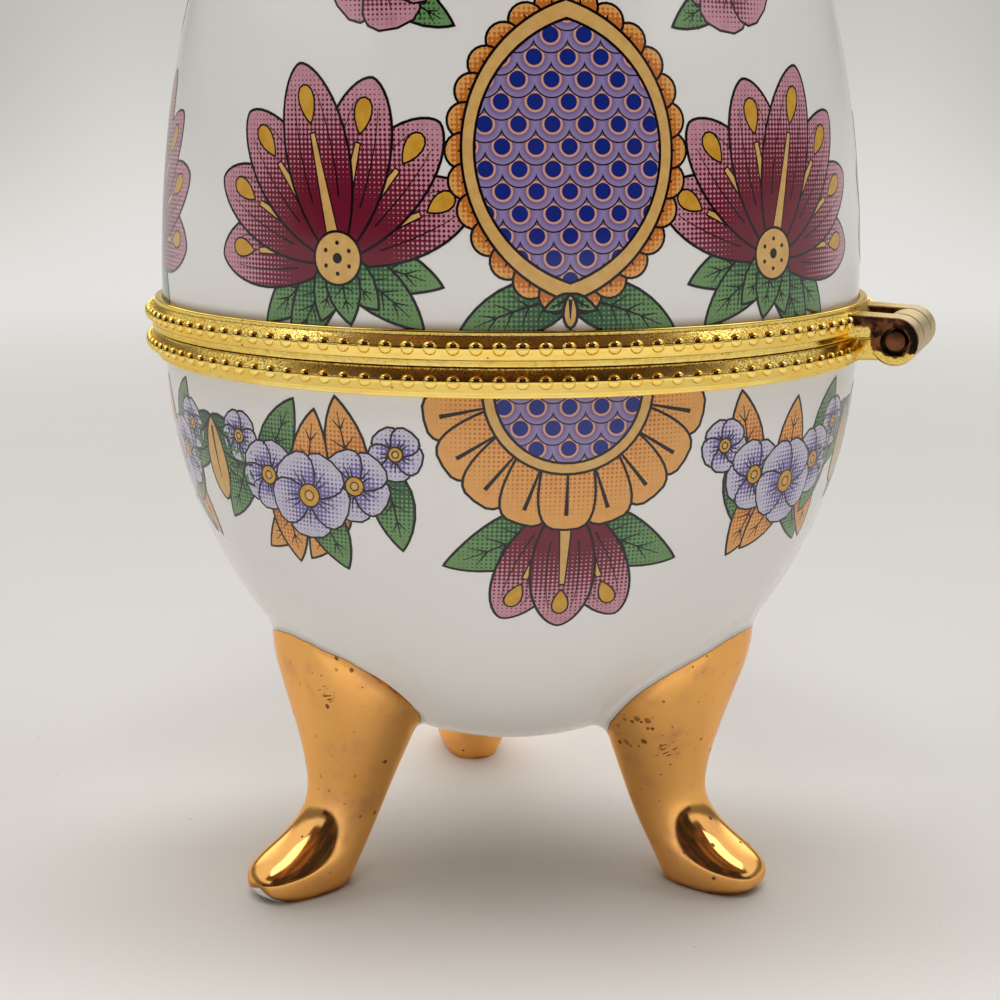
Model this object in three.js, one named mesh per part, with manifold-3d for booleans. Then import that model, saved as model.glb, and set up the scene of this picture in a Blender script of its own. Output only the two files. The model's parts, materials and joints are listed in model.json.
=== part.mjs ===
// A footed porcelain egg box: a bowl and a domed lid, each cemented into a gilt brass collar,
// joined by a pinned hinge and standing on three gilded feet.
// Millimetres, +Z up. The origin is on the floor, on the axis of the egg. The front faces -Y.
import * as THREE from 'three';
import { mergeVertices } from 'three/addons/utils/BufferGeometryUtils.js';
import Module from 'manifold-3d';

// Porcelain
const EGG_RADIUS = 29.45; // greatest outer radius, at the rims of bowl and lid
const CUP_DEPTH = 35.5; // rim of the bowl to its lowest point, outside
const LID_RISE = 55.2; // rim of the lid to its highest point, outside
const PORCELAIN_WALL = 2.6;
const GROUND_CLEARANCE = 10.4; // floor to the lowest point of the bowl

// Collars: a flange over the porcelain rim and a wall outside it that swells into a ridge
const COLLAR_CLEARANCE = 0.15; // porcelain to the inside of the collar's wall
const COLLAR_WALL = 0.4;
const COLLAR_FLANGE = 0.8;
const COLLAR_RIM = 0.25; // width of the flat edge that lies along the porcelain
const RIDGE_REACH = 0.95; // how far the ridge stands out from the wall
const RIDGE_FACE = 0.45; // height of the ridge's outermost face
const RIDGE_ROUNDING = 0.4; // how far the ridge's sides fall back over half that height
const UPPER_COLLAR_HEIGHT = 2.4;
const UPPER_RIDGE_HEIGHT = 1.35; // parting plane to the middle of the ridge
const LOWER_COLLAR_HEIGHT = 2.1;
const LOWER_RIDGE_HEIGHT = 1;
const PARTING_GAP = 0.2; // between the two collars with the lid shut
const CEMENT_BED = 0.5; // room between flange and porcelain rim
const CEMENT_GAP = 0.05; // left above and below the cement ring
const CEMENT_INSET = 0.3; // cement ring to the edges of the porcelain rim

// Hinge: three knuckles on a pin that lies in the parting plane, square to the egg's radius
const HINGE_AZIMUTH = 69; // degrees from the front, towards +X
const PIN_RADIUS = 0.8;
const PIN_CLEARANCE = 0.3;
const BARREL_WALL = 0.75;
const BARREL_TO_RIDGE = 0.7; // clear space between the barrel and the collars' ridges
const OUTER_KNUCKLE_LENGTH = 3;
const MIDDLE_KNUCKLE_LENGTH = 4;
const KNUCKLE_GAP = 0.2;
const PIN_RECESS = 0.4; // pin end to the end face of the barrel
const LUG_GAP = 0.15; // lug to the parting plane
const BRAZE_GAP = 0.3; // lug to the collar that carries it

// Feet
const FRONT_LEFT_LEG_AZIMUTH = -54.6; // degrees from the front, towards +X
const FRONT_RIGHT_LEG_AZIMUTH = 56.5;
const REAR_LEG_AZIMUTH = 192;
const FRONT_LEFT_SPLAY = 1.2; // how much further out this foot was set than the others
const HEEL_INSET = 13.85; // greatest radius of the egg in to the back of the foot
const TOE_INSET = 4.25; // greatest radius of the egg in to the tip of the toe
const TOE_HEIGHT = 2.1; // floor to the tip of the toe
const FOOT_WIDTH = 6.8;
const SOLE_ROUNDING = 0.9; // how far the flat sole lies inside the foot's outline
const ANKLE_HEIGHT = 7.6;
const ANKLE_INSET = 13.35; // greatest radius of the egg in to the middle of the ankle
const ANKLE_DEPTH = 6.5; // along the egg's radius
const ANKLE_WIDTH = 6.65;
const ROOT_INSET = 19.15; // greatest radius of the egg in to the back of the leg at the bowl
const LEG_RISE = 13.4; // lowest point of the bowl to the top of the leg
const LEG_TOP_WIDTH = 9.5;
const KNEE_DROP = 4.1; // top of the leg down to its widest level
const KNEE_WIDTH = 16;
const KNEE_PROUD = 2.25; // how far the knee stands out from the bowl
const OVAL_POWER = 2.4; // 2 for plain ellipses, more for squarer sections
const LUTING_GAP = 0.3; // leg to bowl

// Fineness of the facets
const RING_SEGMENTS = 48;
const OUTER_ARC_STEPS = 12;
const INNER_ARC_STEPS = 10;
const BARREL_SEGMENTS = 18;
const LEG_STEPS = 18;
const LEG_SIDES = 20;

// Levels and radii that follow from the sizes above
const rimToParting = PARTING_GAP / 2 + COLLAR_FLANGE + CEMENT_BED;
const cupRim = GROUND_CLEARANCE + CUP_DEPTH;
const parting = cupRim + rimToParting;
const lidRim = parting + rimToParting;
const mouthRadius = EGG_RADIUS - PORCELAIN_WALL;
const collarInside = EGG_RADIUS + COLLAR_CLEARANCE;
const collarOutside = collarInside + COLLAR_WALL;
const ridgeRadius = collarOutside + RIDGE_REACH;
const boreRadius = PIN_RADIUS + PIN_CLEARANCE;
const barrelRadius = boreRadius + BARREL_WALL;
const barrelLength = MIDDLE_KNUCKLE_LENGTH + 2 * (KNUCKLE_GAP + OUTER_KNUCKLE_LENGTH);
const pinDistance = ridgeRadius + BARREL_TO_RIDGE + barrelRadius;
const heelRadius = EGG_RADIUS - HEEL_INSET;
const toeRadius = EGG_RADIUS - TOE_INSET;
const ankleRadius = EGG_RADIUS - ANKLE_INSET;
const rootRadius = EGG_RADIUS - ROOT_INSET;

const wasm = await Module();
wasm.setup();

const porcelain = new THREE.MeshStandardMaterial({ color: 0xe6e4df, roughness: 0.12, metalness: 0 });
const giltBrass = new THREE.MeshStandardMaterial({ color: 0xd8a840, roughness: 0.25, metalness: 1 });
const goldLustre = new THREE.MeshStandardMaterial({ color: 0xc98f45, roughness: 0.18, metalness: 1 });
const cement = new THREE.MeshStandardMaterial({ color: 0xcfc8b8, roughness: 0.9, metalness: 0 });
const pinBrass = new THREE.MeshStandardMaterial({ color: 0x8a5c3c, roughness: 0.45, metalness: 1 });

// One closed skin: shared corners merged, and triangles of no area left out.
function closed(geometry) {
  geometry.deleteAttribute('normal');
  geometry.deleteAttribute('uv');
  const merged = mergeVertices(geometry, 1e-5);
  const corners = merged.index.array;
  const kept = [];
  for (let i = 0; i < corners.length; i += 3) {
    const [a, b, c] = corners.subarray(i, i + 3);
    if (a !== b && b !== c && c !== a) {
      kept.push(a, b, c);
    }
  }
  merged.setIndex(kept);
  merged.computeVertexNormals();
  return merged;
}

function solidOf(geometry) {
  const vertProperties = new Float32Array(geometry.attributes.position.array);
  const triVerts = new Uint32Array(geometry.index.array);
  return new wasm.Manifold(new wasm.Mesh({ numProp: 3, vertProperties, triVerts }));
}

function cutBy(geometry, tool) {
  const { vertProperties, triVerts } = solidOf(geometry).subtract(solidOf(tool)).getMesh();
  const cut = new THREE.BufferGeometry();
  cut.setAttribute('position', new THREE.BufferAttribute(vertProperties, 3));
  cut.setIndex(new THREE.BufferAttribute(triVerts, 1));
  cut.computeVertexNormals();
  return cut;
}

function point(radius, height) {
  return new THREE.Vector2(radius, height);
}

// Turns a profile of (radius, height) points about the Z axis. The profile runs anticlockwise.
function lathe(profile) {
  return closed(new THREE.LatheGeometry(profile, RING_SEGMENTS).rotateX(Math.PI / 2));
}

function ring(profile) {
  return lathe([...profile, profile[0]]);
}

// Bowl and dome: half ellipses outside and inside, which meet in a flat rim.
function cupGeometry() {
  const outside = new THREE.EllipseCurve(0, cupRim, EGG_RADIUS, CUP_DEPTH, -Math.PI / 2, 0);
  const insideDepth = CUP_DEPTH - PORCELAIN_WALL;
  const inside = new THREE.EllipseCurve(0, cupRim, mouthRadius, insideDepth, 0, -Math.PI / 2, true);
  return lathe([...outside.getPoints(OUTER_ARC_STEPS), ...inside.getPoints(INNER_ARC_STEPS)]);
}

function lidGeometry() {
  const insideRise = LID_RISE - PORCELAIN_WALL;
  const inside = new THREE.EllipseCurve(0, lidRim, mouthRadius, insideRise, Math.PI / 2, 0, true);
  const outside = new THREE.EllipseCurve(0, lidRim, EGG_RADIUS, LID_RISE, 0, Math.PI / 2);
  return lathe([...inside.getPoints(INNER_ARC_STEPS), ...outside.getPoints(OUTER_ARC_STEPS)]);
}

function cupRadiusAt(height) {
  return EGG_RADIUS * Math.sqrt(1 - ((cupRim - height) / CUP_DEPTH) ** 2);
}

// Points given as (radius, rise from the parting plane) become a profile.
// Side is 1 for what rises with the lid's rim and -1 for what goes down with the bowl's.
function fromParting(section, side) {
  const profile = section.map(([radius, rise]) => point(radius, parting + side * rise));
  return side > 0 ? profile : profile.reverse();
}

// The outer face of a collar, from the parting plane to its edge on the porcelain.
function collarFace(height, ridgeHeight) {
  return [
    [collarOutside, PARTING_GAP / 2],
    [ridgeRadius - RIDGE_ROUNDING, ridgeHeight - RIDGE_FACE],
    [ridgeRadius, ridgeHeight - RIDGE_FACE / 2],
    [ridgeRadius, ridgeHeight + RIDGE_FACE / 2],
    [ridgeRadius - RIDGE_ROUNDING, ridgeHeight + RIDGE_FACE],
    [collarInside + COLLAR_RIM, PARTING_GAP / 2 + height],
  ];
}

function collarGeometry(height, ridgeHeight, side) {
  const flangeBack = PARTING_GAP / 2 + COLLAR_FLANGE;
  const section = [
    ...collarFace(height, ridgeHeight),
    [collarInside, PARTING_GAP / 2 + height],
    [collarInside, flangeBack],
    [mouthRadius, flangeBack],
    [mouthRadius, PARTING_GAP / 2],
  ];
  return ring(fromParting(section, side));
}

// A round block that stands BRAZE_GAP outside a collar's face, to shape the lugs that sit on it.
function collarEnvelope(height, ridgeHeight, side) {
  const face = collarFace(height, ridgeHeight).map(([radius, rise]) => [radius + BRAZE_GAP, rise]);
  const bottom = -barrelRadius;
  const top = height + barrelRadius;
  const section = [[0, bottom], [face[0][0], bottom], ...face, [face.at(-1)[0], top], [0, top]];
  return lathe(fromParting(section, side));
}

function cementGeometry(side) {
  const inner = mouthRadius + CEMENT_INSET;
  const outer = EGG_RADIUS - CEMENT_INSET;
  const low = rimToParting - CEMENT_BED + CEMENT_GAP;
  const high = rimToParting - CEMENT_GAP;
  return ring(fromParting([[inner, low], [outer, low], [outer, high], [inner, high]], side));
}

// A knuckle is a bored barrel with a flat lug that runs in to its collar. It is drawn in the plane of the
// egg's radius with the pin at (0, 0), extruded along the pin, and set on the +X side of the egg.
function knuckleGeometry(middle, length, side) {
  const reach = pinDistance - collarInside;
  const lugAngle = Math.asin(LUG_GAP / barrelRadius);
  const outline = new THREE.Shape();
  outline.moveTo(-reach, side * LUG_GAP);
  outline.lineTo(-reach, side * barrelRadius);
  outline.lineTo(0, side * barrelRadius);
  outline.absarc(0, 0, barrelRadius, side * Math.PI / 2, -side * (Math.PI + lugAngle), side > 0);
  outline.closePath();
  const bore = new THREE.Path();
  bore.absarc(0, 0, boreRadius, 0, 2 * Math.PI, false);
  outline.holes.push(bore);
  const extrusion = { depth: length, bevelEnabled: false, curveSegments: BARREL_SEGMENTS };
  const blank = new THREE.ExtrudeGeometry(outline, extrusion);
  blank.translate(0, 0, middle - length / 2).rotateX(Math.PI / 2).translate(pinDistance, 0, parting);
  return closed(blank);
}

function pinGeometry() {
  const length = barrelLength - 2 * PIN_RECESS;
  return new THREE.CylinderGeometry(PIN_RADIUS, PIN_RADIUS, length, BARREL_SEGMENTS);
}

// A leg is a stack of ovals on the +X side of the egg, from the flat sole up to where it dies into
// the bowl. Splay moves its foot and ankle outwards.
function legGeometry(splay) {
  const legTop = GROUND_CLEARANCE + LEG_RISE;
  const kneeHeight = legTop - KNEE_DROP;
  const sole = {
    height: 0,
    back: splay + heelRadius + SOLE_ROUNDING,
    front: splay + toeRadius - SOLE_ROUNDING,
    width: FOOT_WIDTH - 2 * SOLE_ROUNDING,
  };
  const foot = {
    height: TOE_HEIGHT,
    back: splay + heelRadius,
    front: splay + toeRadius,
    width: FOOT_WIDTH,
  };
  const ankle = {
    height: ANKLE_HEIGHT,
    back: splay + ankleRadius - ANKLE_DEPTH / 2,
    front: splay + ankleRadius + ANKLE_DEPTH / 2,
    width: ANKLE_WIDTH,
  };
  const knee = {
    height: kneeHeight,
    back: rootRadius,
    front: cupRadiusAt(kneeHeight) + KNEE_PROUD,
    width: KNEE_WIDTH,
  };
  const top = { height: legTop, back: rootRadius, front: cupRadiusAt(legTop), width: LEG_TOP_WIDTH };
  const stations = [sole, foot, ankle, knee, top];
  const lineOf = (key) => new THREE.SplineCurve(stations.map((s) => point(s[key], s.height)));
  return closed(ovalLoft(lineOf('back'), lineOf('front'), lineOf('width')));
}

// A point on a squarish oval that is 2 long and 2 wide.
function ovalPoint(angle) {
  const squared = (value) => Math.sign(value) * Math.abs(value) ** (2 / OVAL_POWER);
  return [squared(Math.cos(angle)), squared(Math.sin(angle))];
}

// Joins ovals at even steps along three lines that share their heights, and closes both ends.
function ovalLoft(backLine, frontLine, widthLine) {
  const corners = [];
  const triangles = [];
  for (let step = 0; step <= LEG_STEPS; step += 1) {
    const back = backLine.getPoint(step / LEG_STEPS);
    const front = frontLine.getPoint(step / LEG_STEPS);
    const width = widthLine.getPoint(step / LEG_STEPS);
    for (let side = 0; side < LEG_SIDES; side += 1) {
      const [along, across] = ovalPoint(2 * Math.PI * side / LEG_SIDES);
      const x = (front.x + back.x + along * (front.x - back.x)) / 2;
      corners.push(x, across * width.x / 2, front.y);
    }
  }
  for (let step = 0; step < LEG_STEPS; step += 1) {
    for (let side = 0; side < LEG_SIDES; side += 1) {
      const next = (side + 1) % LEG_SIDES;
      const low = step * LEG_SIDES;
      const high = low + LEG_SIDES;
      triangles.push(low + side, low + next, high + next, low + side, high + next, high + side);
    }
  }
  const last = LEG_STEPS * LEG_SIDES;
  for (let side = 1; side < LEG_SIDES - 1; side += 1) {
    triangles.push(0, side + 1, side, last, last + side, last + side + 1);
  }
  const loft = new THREE.BufferGeometry();
  loft.setAttribute('position', new THREE.Float32BufferAttribute(corners, 3));
  loft.setIndex(triangles);
  return loft;
}

// The bowl's outside with room for the luting, which shapes the tops of the legs.
function lutingEnvelope() {
  const outside = new THREE.EllipseCurve(
    0, cupRim, EGG_RADIUS + LUTING_GAP, CUP_DEPTH + LUTING_GAP, -Math.PI / 2, 0);
  return lathe([...outside.getPoints(2 * OUTER_ARC_STEPS), point(0, cupRim)]);
}

function meshOf(name, geometry, material) {
  const mesh = new THREE.Mesh(geometry, material);
  mesh.name = name;
  return mesh;
}

// A group turned so that its +X side faces an azimuth, in degrees from the front.
function facing(azimuth, ...meshes) {
  const group = new THREE.Group();
  group.rotation.z = THREE.MathUtils.degToRad(azimuth - 90);
  group.add(...meshes);
  return group;
}

const upperCollar = [UPPER_COLLAR_HEIGHT, UPPER_RIDGE_HEIGHT, 1];
const lowerCollar = [LOWER_COLLAR_HEIGHT, LOWER_RIDGE_HEIGHT, -1];
const outerKnuckleMiddle = (barrelLength - OUTER_KNUCKLE_LENGTH) / 2;
const frontKnuckle = knuckleGeometry(outerKnuckleMiddle, OUTER_KNUCKLE_LENGTH, 1);
const rearKnuckle = knuckleGeometry(-outerKnuckleMiddle, OUTER_KNUCKLE_LENGTH, 1);
const middleKnuckle = knuckleGeometry(0, MIDDLE_KNUCKLE_LENGTH, -1);
const upperEnvelope = collarEnvelope(...upperCollar);
const lowerEnvelope = collarEnvelope(...lowerCollar);
const pin = meshOf('hinge_pin', closed(pinGeometry()), pinBrass);
pin.position.set(pinDistance, 0, parting);
const leg = cutBy(legGeometry(0), lutingEnvelope());
const splayedLeg = cutBy(legGeometry(FRONT_LEFT_SPLAY), lutingEnvelope());

const base = new THREE.Group();
base.add(
  meshOf('base_cup', cupGeometry(), porcelain),
  meshOf('lower_collar', collarGeometry(...lowerCollar), giltBrass),
  meshOf('lower_cement_ring', cementGeometry(-1), cement),
  facing(HINGE_AZIMUTH, meshOf('cup_knuckle', cutBy(middleKnuckle, lowerEnvelope), giltBrass), pin),
  facing(FRONT_LEFT_LEG_AZIMUTH, meshOf('front_left_leg', splayedLeg, goldLustre)),
  facing(FRONT_RIGHT_LEG_AZIMUTH, meshOf('front_right_leg', leg, goldLustre)),
  facing(REAR_LEG_AZIMUTH, meshOf('rear_leg', leg, goldLustre)),
);

const lid = new THREE.Group();
lid.add(
  meshOf('lid_shell', lidGeometry(), porcelain),
  meshOf('upper_collar', collarGeometry(...upperCollar), giltBrass),
  meshOf('upper_cement_ring', cementGeometry(1), cement),
  facing(
    HINGE_AZIMUTH,
    meshOf('lid_knuckle_front', cutBy(frontKnuckle, upperEnvelope), giltBrass),
    meshOf('lid_knuckle_rear', cutBy(rearKnuckle, upperEnvelope), giltBrass),
  ),
);

const box = new THREE.Group();
box.add(base, lid);

export default box;
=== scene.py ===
"""Looks of a footed porcelain egg box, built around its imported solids.

Shapes are worked out in millimetres in the frame of the solids: Z up, the front towards -Y.
Azimuths are degrees from the front towards +X.
"""

import json
import math

import bpy
import numpy as np
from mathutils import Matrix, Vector
from mathutils.geometry import delaunay_2d_cdt
from mathutils.kdtree import KDTree


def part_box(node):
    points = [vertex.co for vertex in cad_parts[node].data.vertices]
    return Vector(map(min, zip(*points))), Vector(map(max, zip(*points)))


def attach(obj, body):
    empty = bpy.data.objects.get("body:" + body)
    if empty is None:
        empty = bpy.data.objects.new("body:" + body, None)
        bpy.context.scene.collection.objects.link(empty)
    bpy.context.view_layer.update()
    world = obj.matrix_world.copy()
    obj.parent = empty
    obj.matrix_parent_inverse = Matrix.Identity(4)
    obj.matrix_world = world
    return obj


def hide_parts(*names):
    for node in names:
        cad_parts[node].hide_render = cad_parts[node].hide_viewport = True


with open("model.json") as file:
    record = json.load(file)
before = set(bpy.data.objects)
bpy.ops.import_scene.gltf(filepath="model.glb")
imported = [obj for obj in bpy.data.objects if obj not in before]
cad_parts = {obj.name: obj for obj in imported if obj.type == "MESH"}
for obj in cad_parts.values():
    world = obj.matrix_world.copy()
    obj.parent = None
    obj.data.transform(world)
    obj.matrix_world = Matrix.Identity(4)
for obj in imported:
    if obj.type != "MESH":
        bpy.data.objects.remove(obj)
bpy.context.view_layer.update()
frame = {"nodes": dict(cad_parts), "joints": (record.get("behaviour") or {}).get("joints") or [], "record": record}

MM = 0.001
TINY = 1e-9
SLACK = 0.01
UP = np.array([0, 0, 1.0])


def box_mm(node):
    low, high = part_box(node)
    return np.array(low) / MM, np.array(high) / MM


# Sizes read from the solids
cup_low, cup_high = box_mm("base_cup")
lid_low, lid_high = box_mm("lid_shell")
lower_low, lower_high = box_mm("lower_collar")
upper_low, upper_high = box_mm("upper_collar")
EGG_RADIUS = cup_high[0]
CUP_RIM = cup_high[2]
CUP_DEPTH = cup_high[2] - cup_low[2]
LID_RIM = lid_low[2]
LID_RISE = lid_high[2] - lid_low[2]
PARTING = (lower_high[2] + upper_low[2]) / 2
HALF_GAP = (upper_low[2] - lower_high[2]) / 2
UPPER_COLLAR_HEIGHT = upper_high[2] - PARTING
LOWER_COLLAR_HEIGHT = PARTING - lower_low[2]
BEAD_REACH = upper_high[0]
HINGE = frame["joints"][0]
PIN_CENTRE = np.array(HINGE["pos_m"]) / MM
PIN_AXIS = np.array(HINGE["axis"])
PIN_DISTANCE = math.hypot(PIN_CENTRE[0], PIN_CENTRE[1])
HINGE_AZIMUTH = math.degrees(math.atan2(PIN_CENTRE[0], -PIN_CENTRE[1]))
SOLES = {m["name"]: np.array(m["pos_m"]) / MM for m in frame["record"]["mounts"]}

# Porcelain
WALL = 2.6
MOUTH_RADIUS = EGG_RADIUS - WALL
POLE_RADIUS = 0.02
RING_SEGMENTS = 192
ARC_STEPS = 96
# Height of the painted shade and painted reflection of the collar on the lid, above the collar's lip
LID_COLLAR_SHADE_HEIGHT = 0.7

# Collars
COLLAR_INSIDE = EGG_RADIUS + 0.15
COLLAR_OUTSIDE = COLLAR_INSIDE + 0.4
FLANGE_BACK = HALF_GAP + 0.8
UPPER_RIDGE = 1.35
LOWER_RIDGE = 1.0
RIDGE_RADIUS = BEAD_REACH - 0.2
WAIST_RADIUS = COLLAR_OUTSIDE + 0.2
EDGE_GAP = 0.05
UPPER_BAND = 0.36
LOWER_BAND = 0.12
GROOVE_DEPTH = 0.03
GROOVE_ROUNDING = 0.012
LIP_RADIUS = COLLAR_INSIDE + 0.5
LIP_TOUCH = EGG_RADIUS + 0.03
LIP_HEIGHT = 0.36
BEAD_RADIUS = 0.52
BEAD_RISE = 0.38
BEAD_POLAR_END = 115
BEADS = 120
BEAD_SEGMENTS = 14
BEAD_RINGS = 6
RIDGE_ROUNDING = 0.2
FLANGE_ROUNDING = 0.12
BAND_GRIME = 0.32
# Painted shade together with grime on the collars beside the hinge
HINGE_SHADE_AND_GRIME = 0.45
HINGE_SHADE_AND_GRIME_FADE = 4

# Hinge
PIN_RADIUS = 0.8
PIN_END = ((0.02, -0.08), (0.5, -0.05), (PIN_RADIUS - 0.05, 0.02), (PIN_RADIUS, 0.12))
PIN_SIDES = 32
BORE_RADIUS = 1.1
BORE_SIDES = 40
BARREL_RADIUS = 1.85
BARREL_STEPS = 48
OUTER_KNUCKLE = 3.0
MIDDLE_KNUCKLE = 4.0
KNUCKLE_GAP = 0.2
PIN_RECESS = 0.4
LUG_GAP = 0.15
LUG_TILT = 0.15
KNUCKLE_EDGE = 0.14
CAP_GRID = 0.25
# Painted shade on the knuckles: on the upper part of the end faces, beside the pin and in the bore
LUG_SHADE_DROP = 0.3
BARREL_SHADE_RISE = 0.1
END_SHADE_FADE = 0.5
END_SHADE_LEVEL = 0.95
PIN_SHADE_START = 0.3
PIN_SHADE_MOST = 0.6
PIN_SHADE_LOW = -0.9
RUBBED_START = -1.0
END_WEAR = 0.6
BARREL_LENGTH = MIDDLE_KNUCKLE + 2 * (KNUCKLE_GAP + OUTER_KNUCKLE)

# Legs
FOOT_HALF_LENGTH = 4.8
FOOT_WIDTH = 6.8
TOE_HEIGHT = 2.1
SOLE_ROUNDING = 0.9
ANKLE_HEIGHT = 7.6
ANKLE_BACK_SHIFT = 4.3
ANKLE_DEPTH = 6.5
ANKLE_WIDTH = 6.65
ROOT_RADIUS = 10.3
LEG_TOP = cup_low[2] + 13.4
LEG_TOP_WIDTH = 9.5
KNEE_DROP = 4.1
KNEE_WIDTH = 16.0
KNEE_PROUD = 2.25
OVAL_POWER = 2.4
LEG_STEPS = 90
LEG_SIDES = 96
FILLETS = {"front_left": 1.1, "front_right": 1.6, "rear": 1.2}
FILLET_STEPS = 10
FILLET_SINK = 0.01
ROOT_SINK = 0.6
ROOT_SHARE = 0.9
GILDED_FILLET_STEPS = 3
SOLE_COVER_FADE = 4
TOE_BARE_POWER = 10
GILDING = {
    "front_left": (0.29, -0.38, -0.56, 0.5),
    "front_right": (-0.61, 0.52, -0.56, 0.0),
    "rear": (0.29, -0.38, -0.56, 0.0),
}
SOLE_COVER = 0.4
TOE_BARE = {"front_left": 2.1, "front_right": 0.0, "rear": 0.0}
TOE_BARE_TURN = math.radians(14)
SCRATCHES = (((-14.9, -15.4, 18.5), 1.3), ((13.0, -13.7, 12.9), 1.5))
SCRATCH_SLANT = math.radians(24)
PIT_GROUP = ((11.2, -13.4, 14.9), 3.0)

# Printed decoration: a stroke has a width at each end, and a blade's shape a power for base and tip
PRINT_AZIMUTH = 8.0
REPEATS = [PRINT_AZIMUTH + turn for turn in (0, 120, 240)]
BETWEEN_REPEATS = [azimuth + 60 for azimuth in REPEATS]
PRINT_GRID = 1.15
PRINT_LIFT = 0.02
PRINT_SINK = 0.03
OUTLINE_STEP = 0.55
LINE = 0.2
FINE_LINE = 0.14
RIB_STROKE = (0.3, 0.06)
VEIN_STROKE = (0.16, 0.05)
FOLD_STROKE = (0.14, 0.05)
LEAF_SHAPE = (0.6, 0.9)
PETAL_SHAPE = (0.75, 0.62)
FLORET_SHAPE = (0.75, 0.4)
DROP_SHAPE = (0.9, 0.5)
TONGUE_SHAPE = (0.8, 0.5)
BUD_SHAPE = (0.8, 0.6)
SHELL_RIB_SHAPE = (0.9, 0.3)
DOT_PITCH = 0.34
SCALE_WIDTH = 2.3
SCALE_RISE = 1.5
SCALE_REACH = 0.56
INKS = ["ink", "burgundy", "ochre", "amber", "orange", "leaf", "lavender", "scales"]

# Light in the room, as linear colours
TENT_LOW = (0.2, 0.197, 0.193, 1)
TENT_HIGH = (0.9, 0.887, 0.868, 1)
WINDOW = (1.9, 1.88, 1.84, 1)
CEILING_BACK = (0.35, 0.33, 0.31, 1)
CEILING_FRONT = (0.1, 0.05, 0.032, 1)
CEILING_DUSK = (0.11, 0.056, 0.034, 1)
CEILING_WARM = (0.36, 0.17, 0.07, 1)
GROUND = (0.70, 0.69, 0.665, 1)
BACKDROP_LOW = (0.78, 0.765, 0.735, 1)
BACKDROP_HIGH = (0.555, 0.55, 0.505, 1)
BACKDROP_CORNER = (0.49, 0.48, 0.44, 1)
ROOM_BLACK = (0.006, 0.004, 0.004, 1)
ROOM_RED = (0.12, 0.035, 0.025, 1)
# Floor paper: a painted shadow under the box, painted light behind it and in front of it, and the even paper
# further out
PAPER_PAINTED_SHADOW = (0.56, 0.54, 0.505, 1)
PAPER_PAINTED_LIGHT_BEHIND = (0.92, 0.91, 0.885, 1)
PAPER_FAR = (0.72, 0.712, 0.69, 1)
PAPER_PAINTED_LIGHT_FRONT = (0.90, 0.89, 0.865, 1)
PAPER_DUST = (0.35, 0.32, 0.28, 1)
FLOOR_RINGS = (60, 140, 300, 700, 1600)
FLOOR_SIDES = 96

# Camera, fitted to the collar's ellipse and the feet
PICTURE_SIZE = 1000
FOCAL_PIXELS = 1645
AXIS_PIXEL = 511
CAMERA_PLACE = (0.0, -142.5, 63.9)
CAMERA_PITCH = 13.0
SENSOR = 36.0


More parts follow.
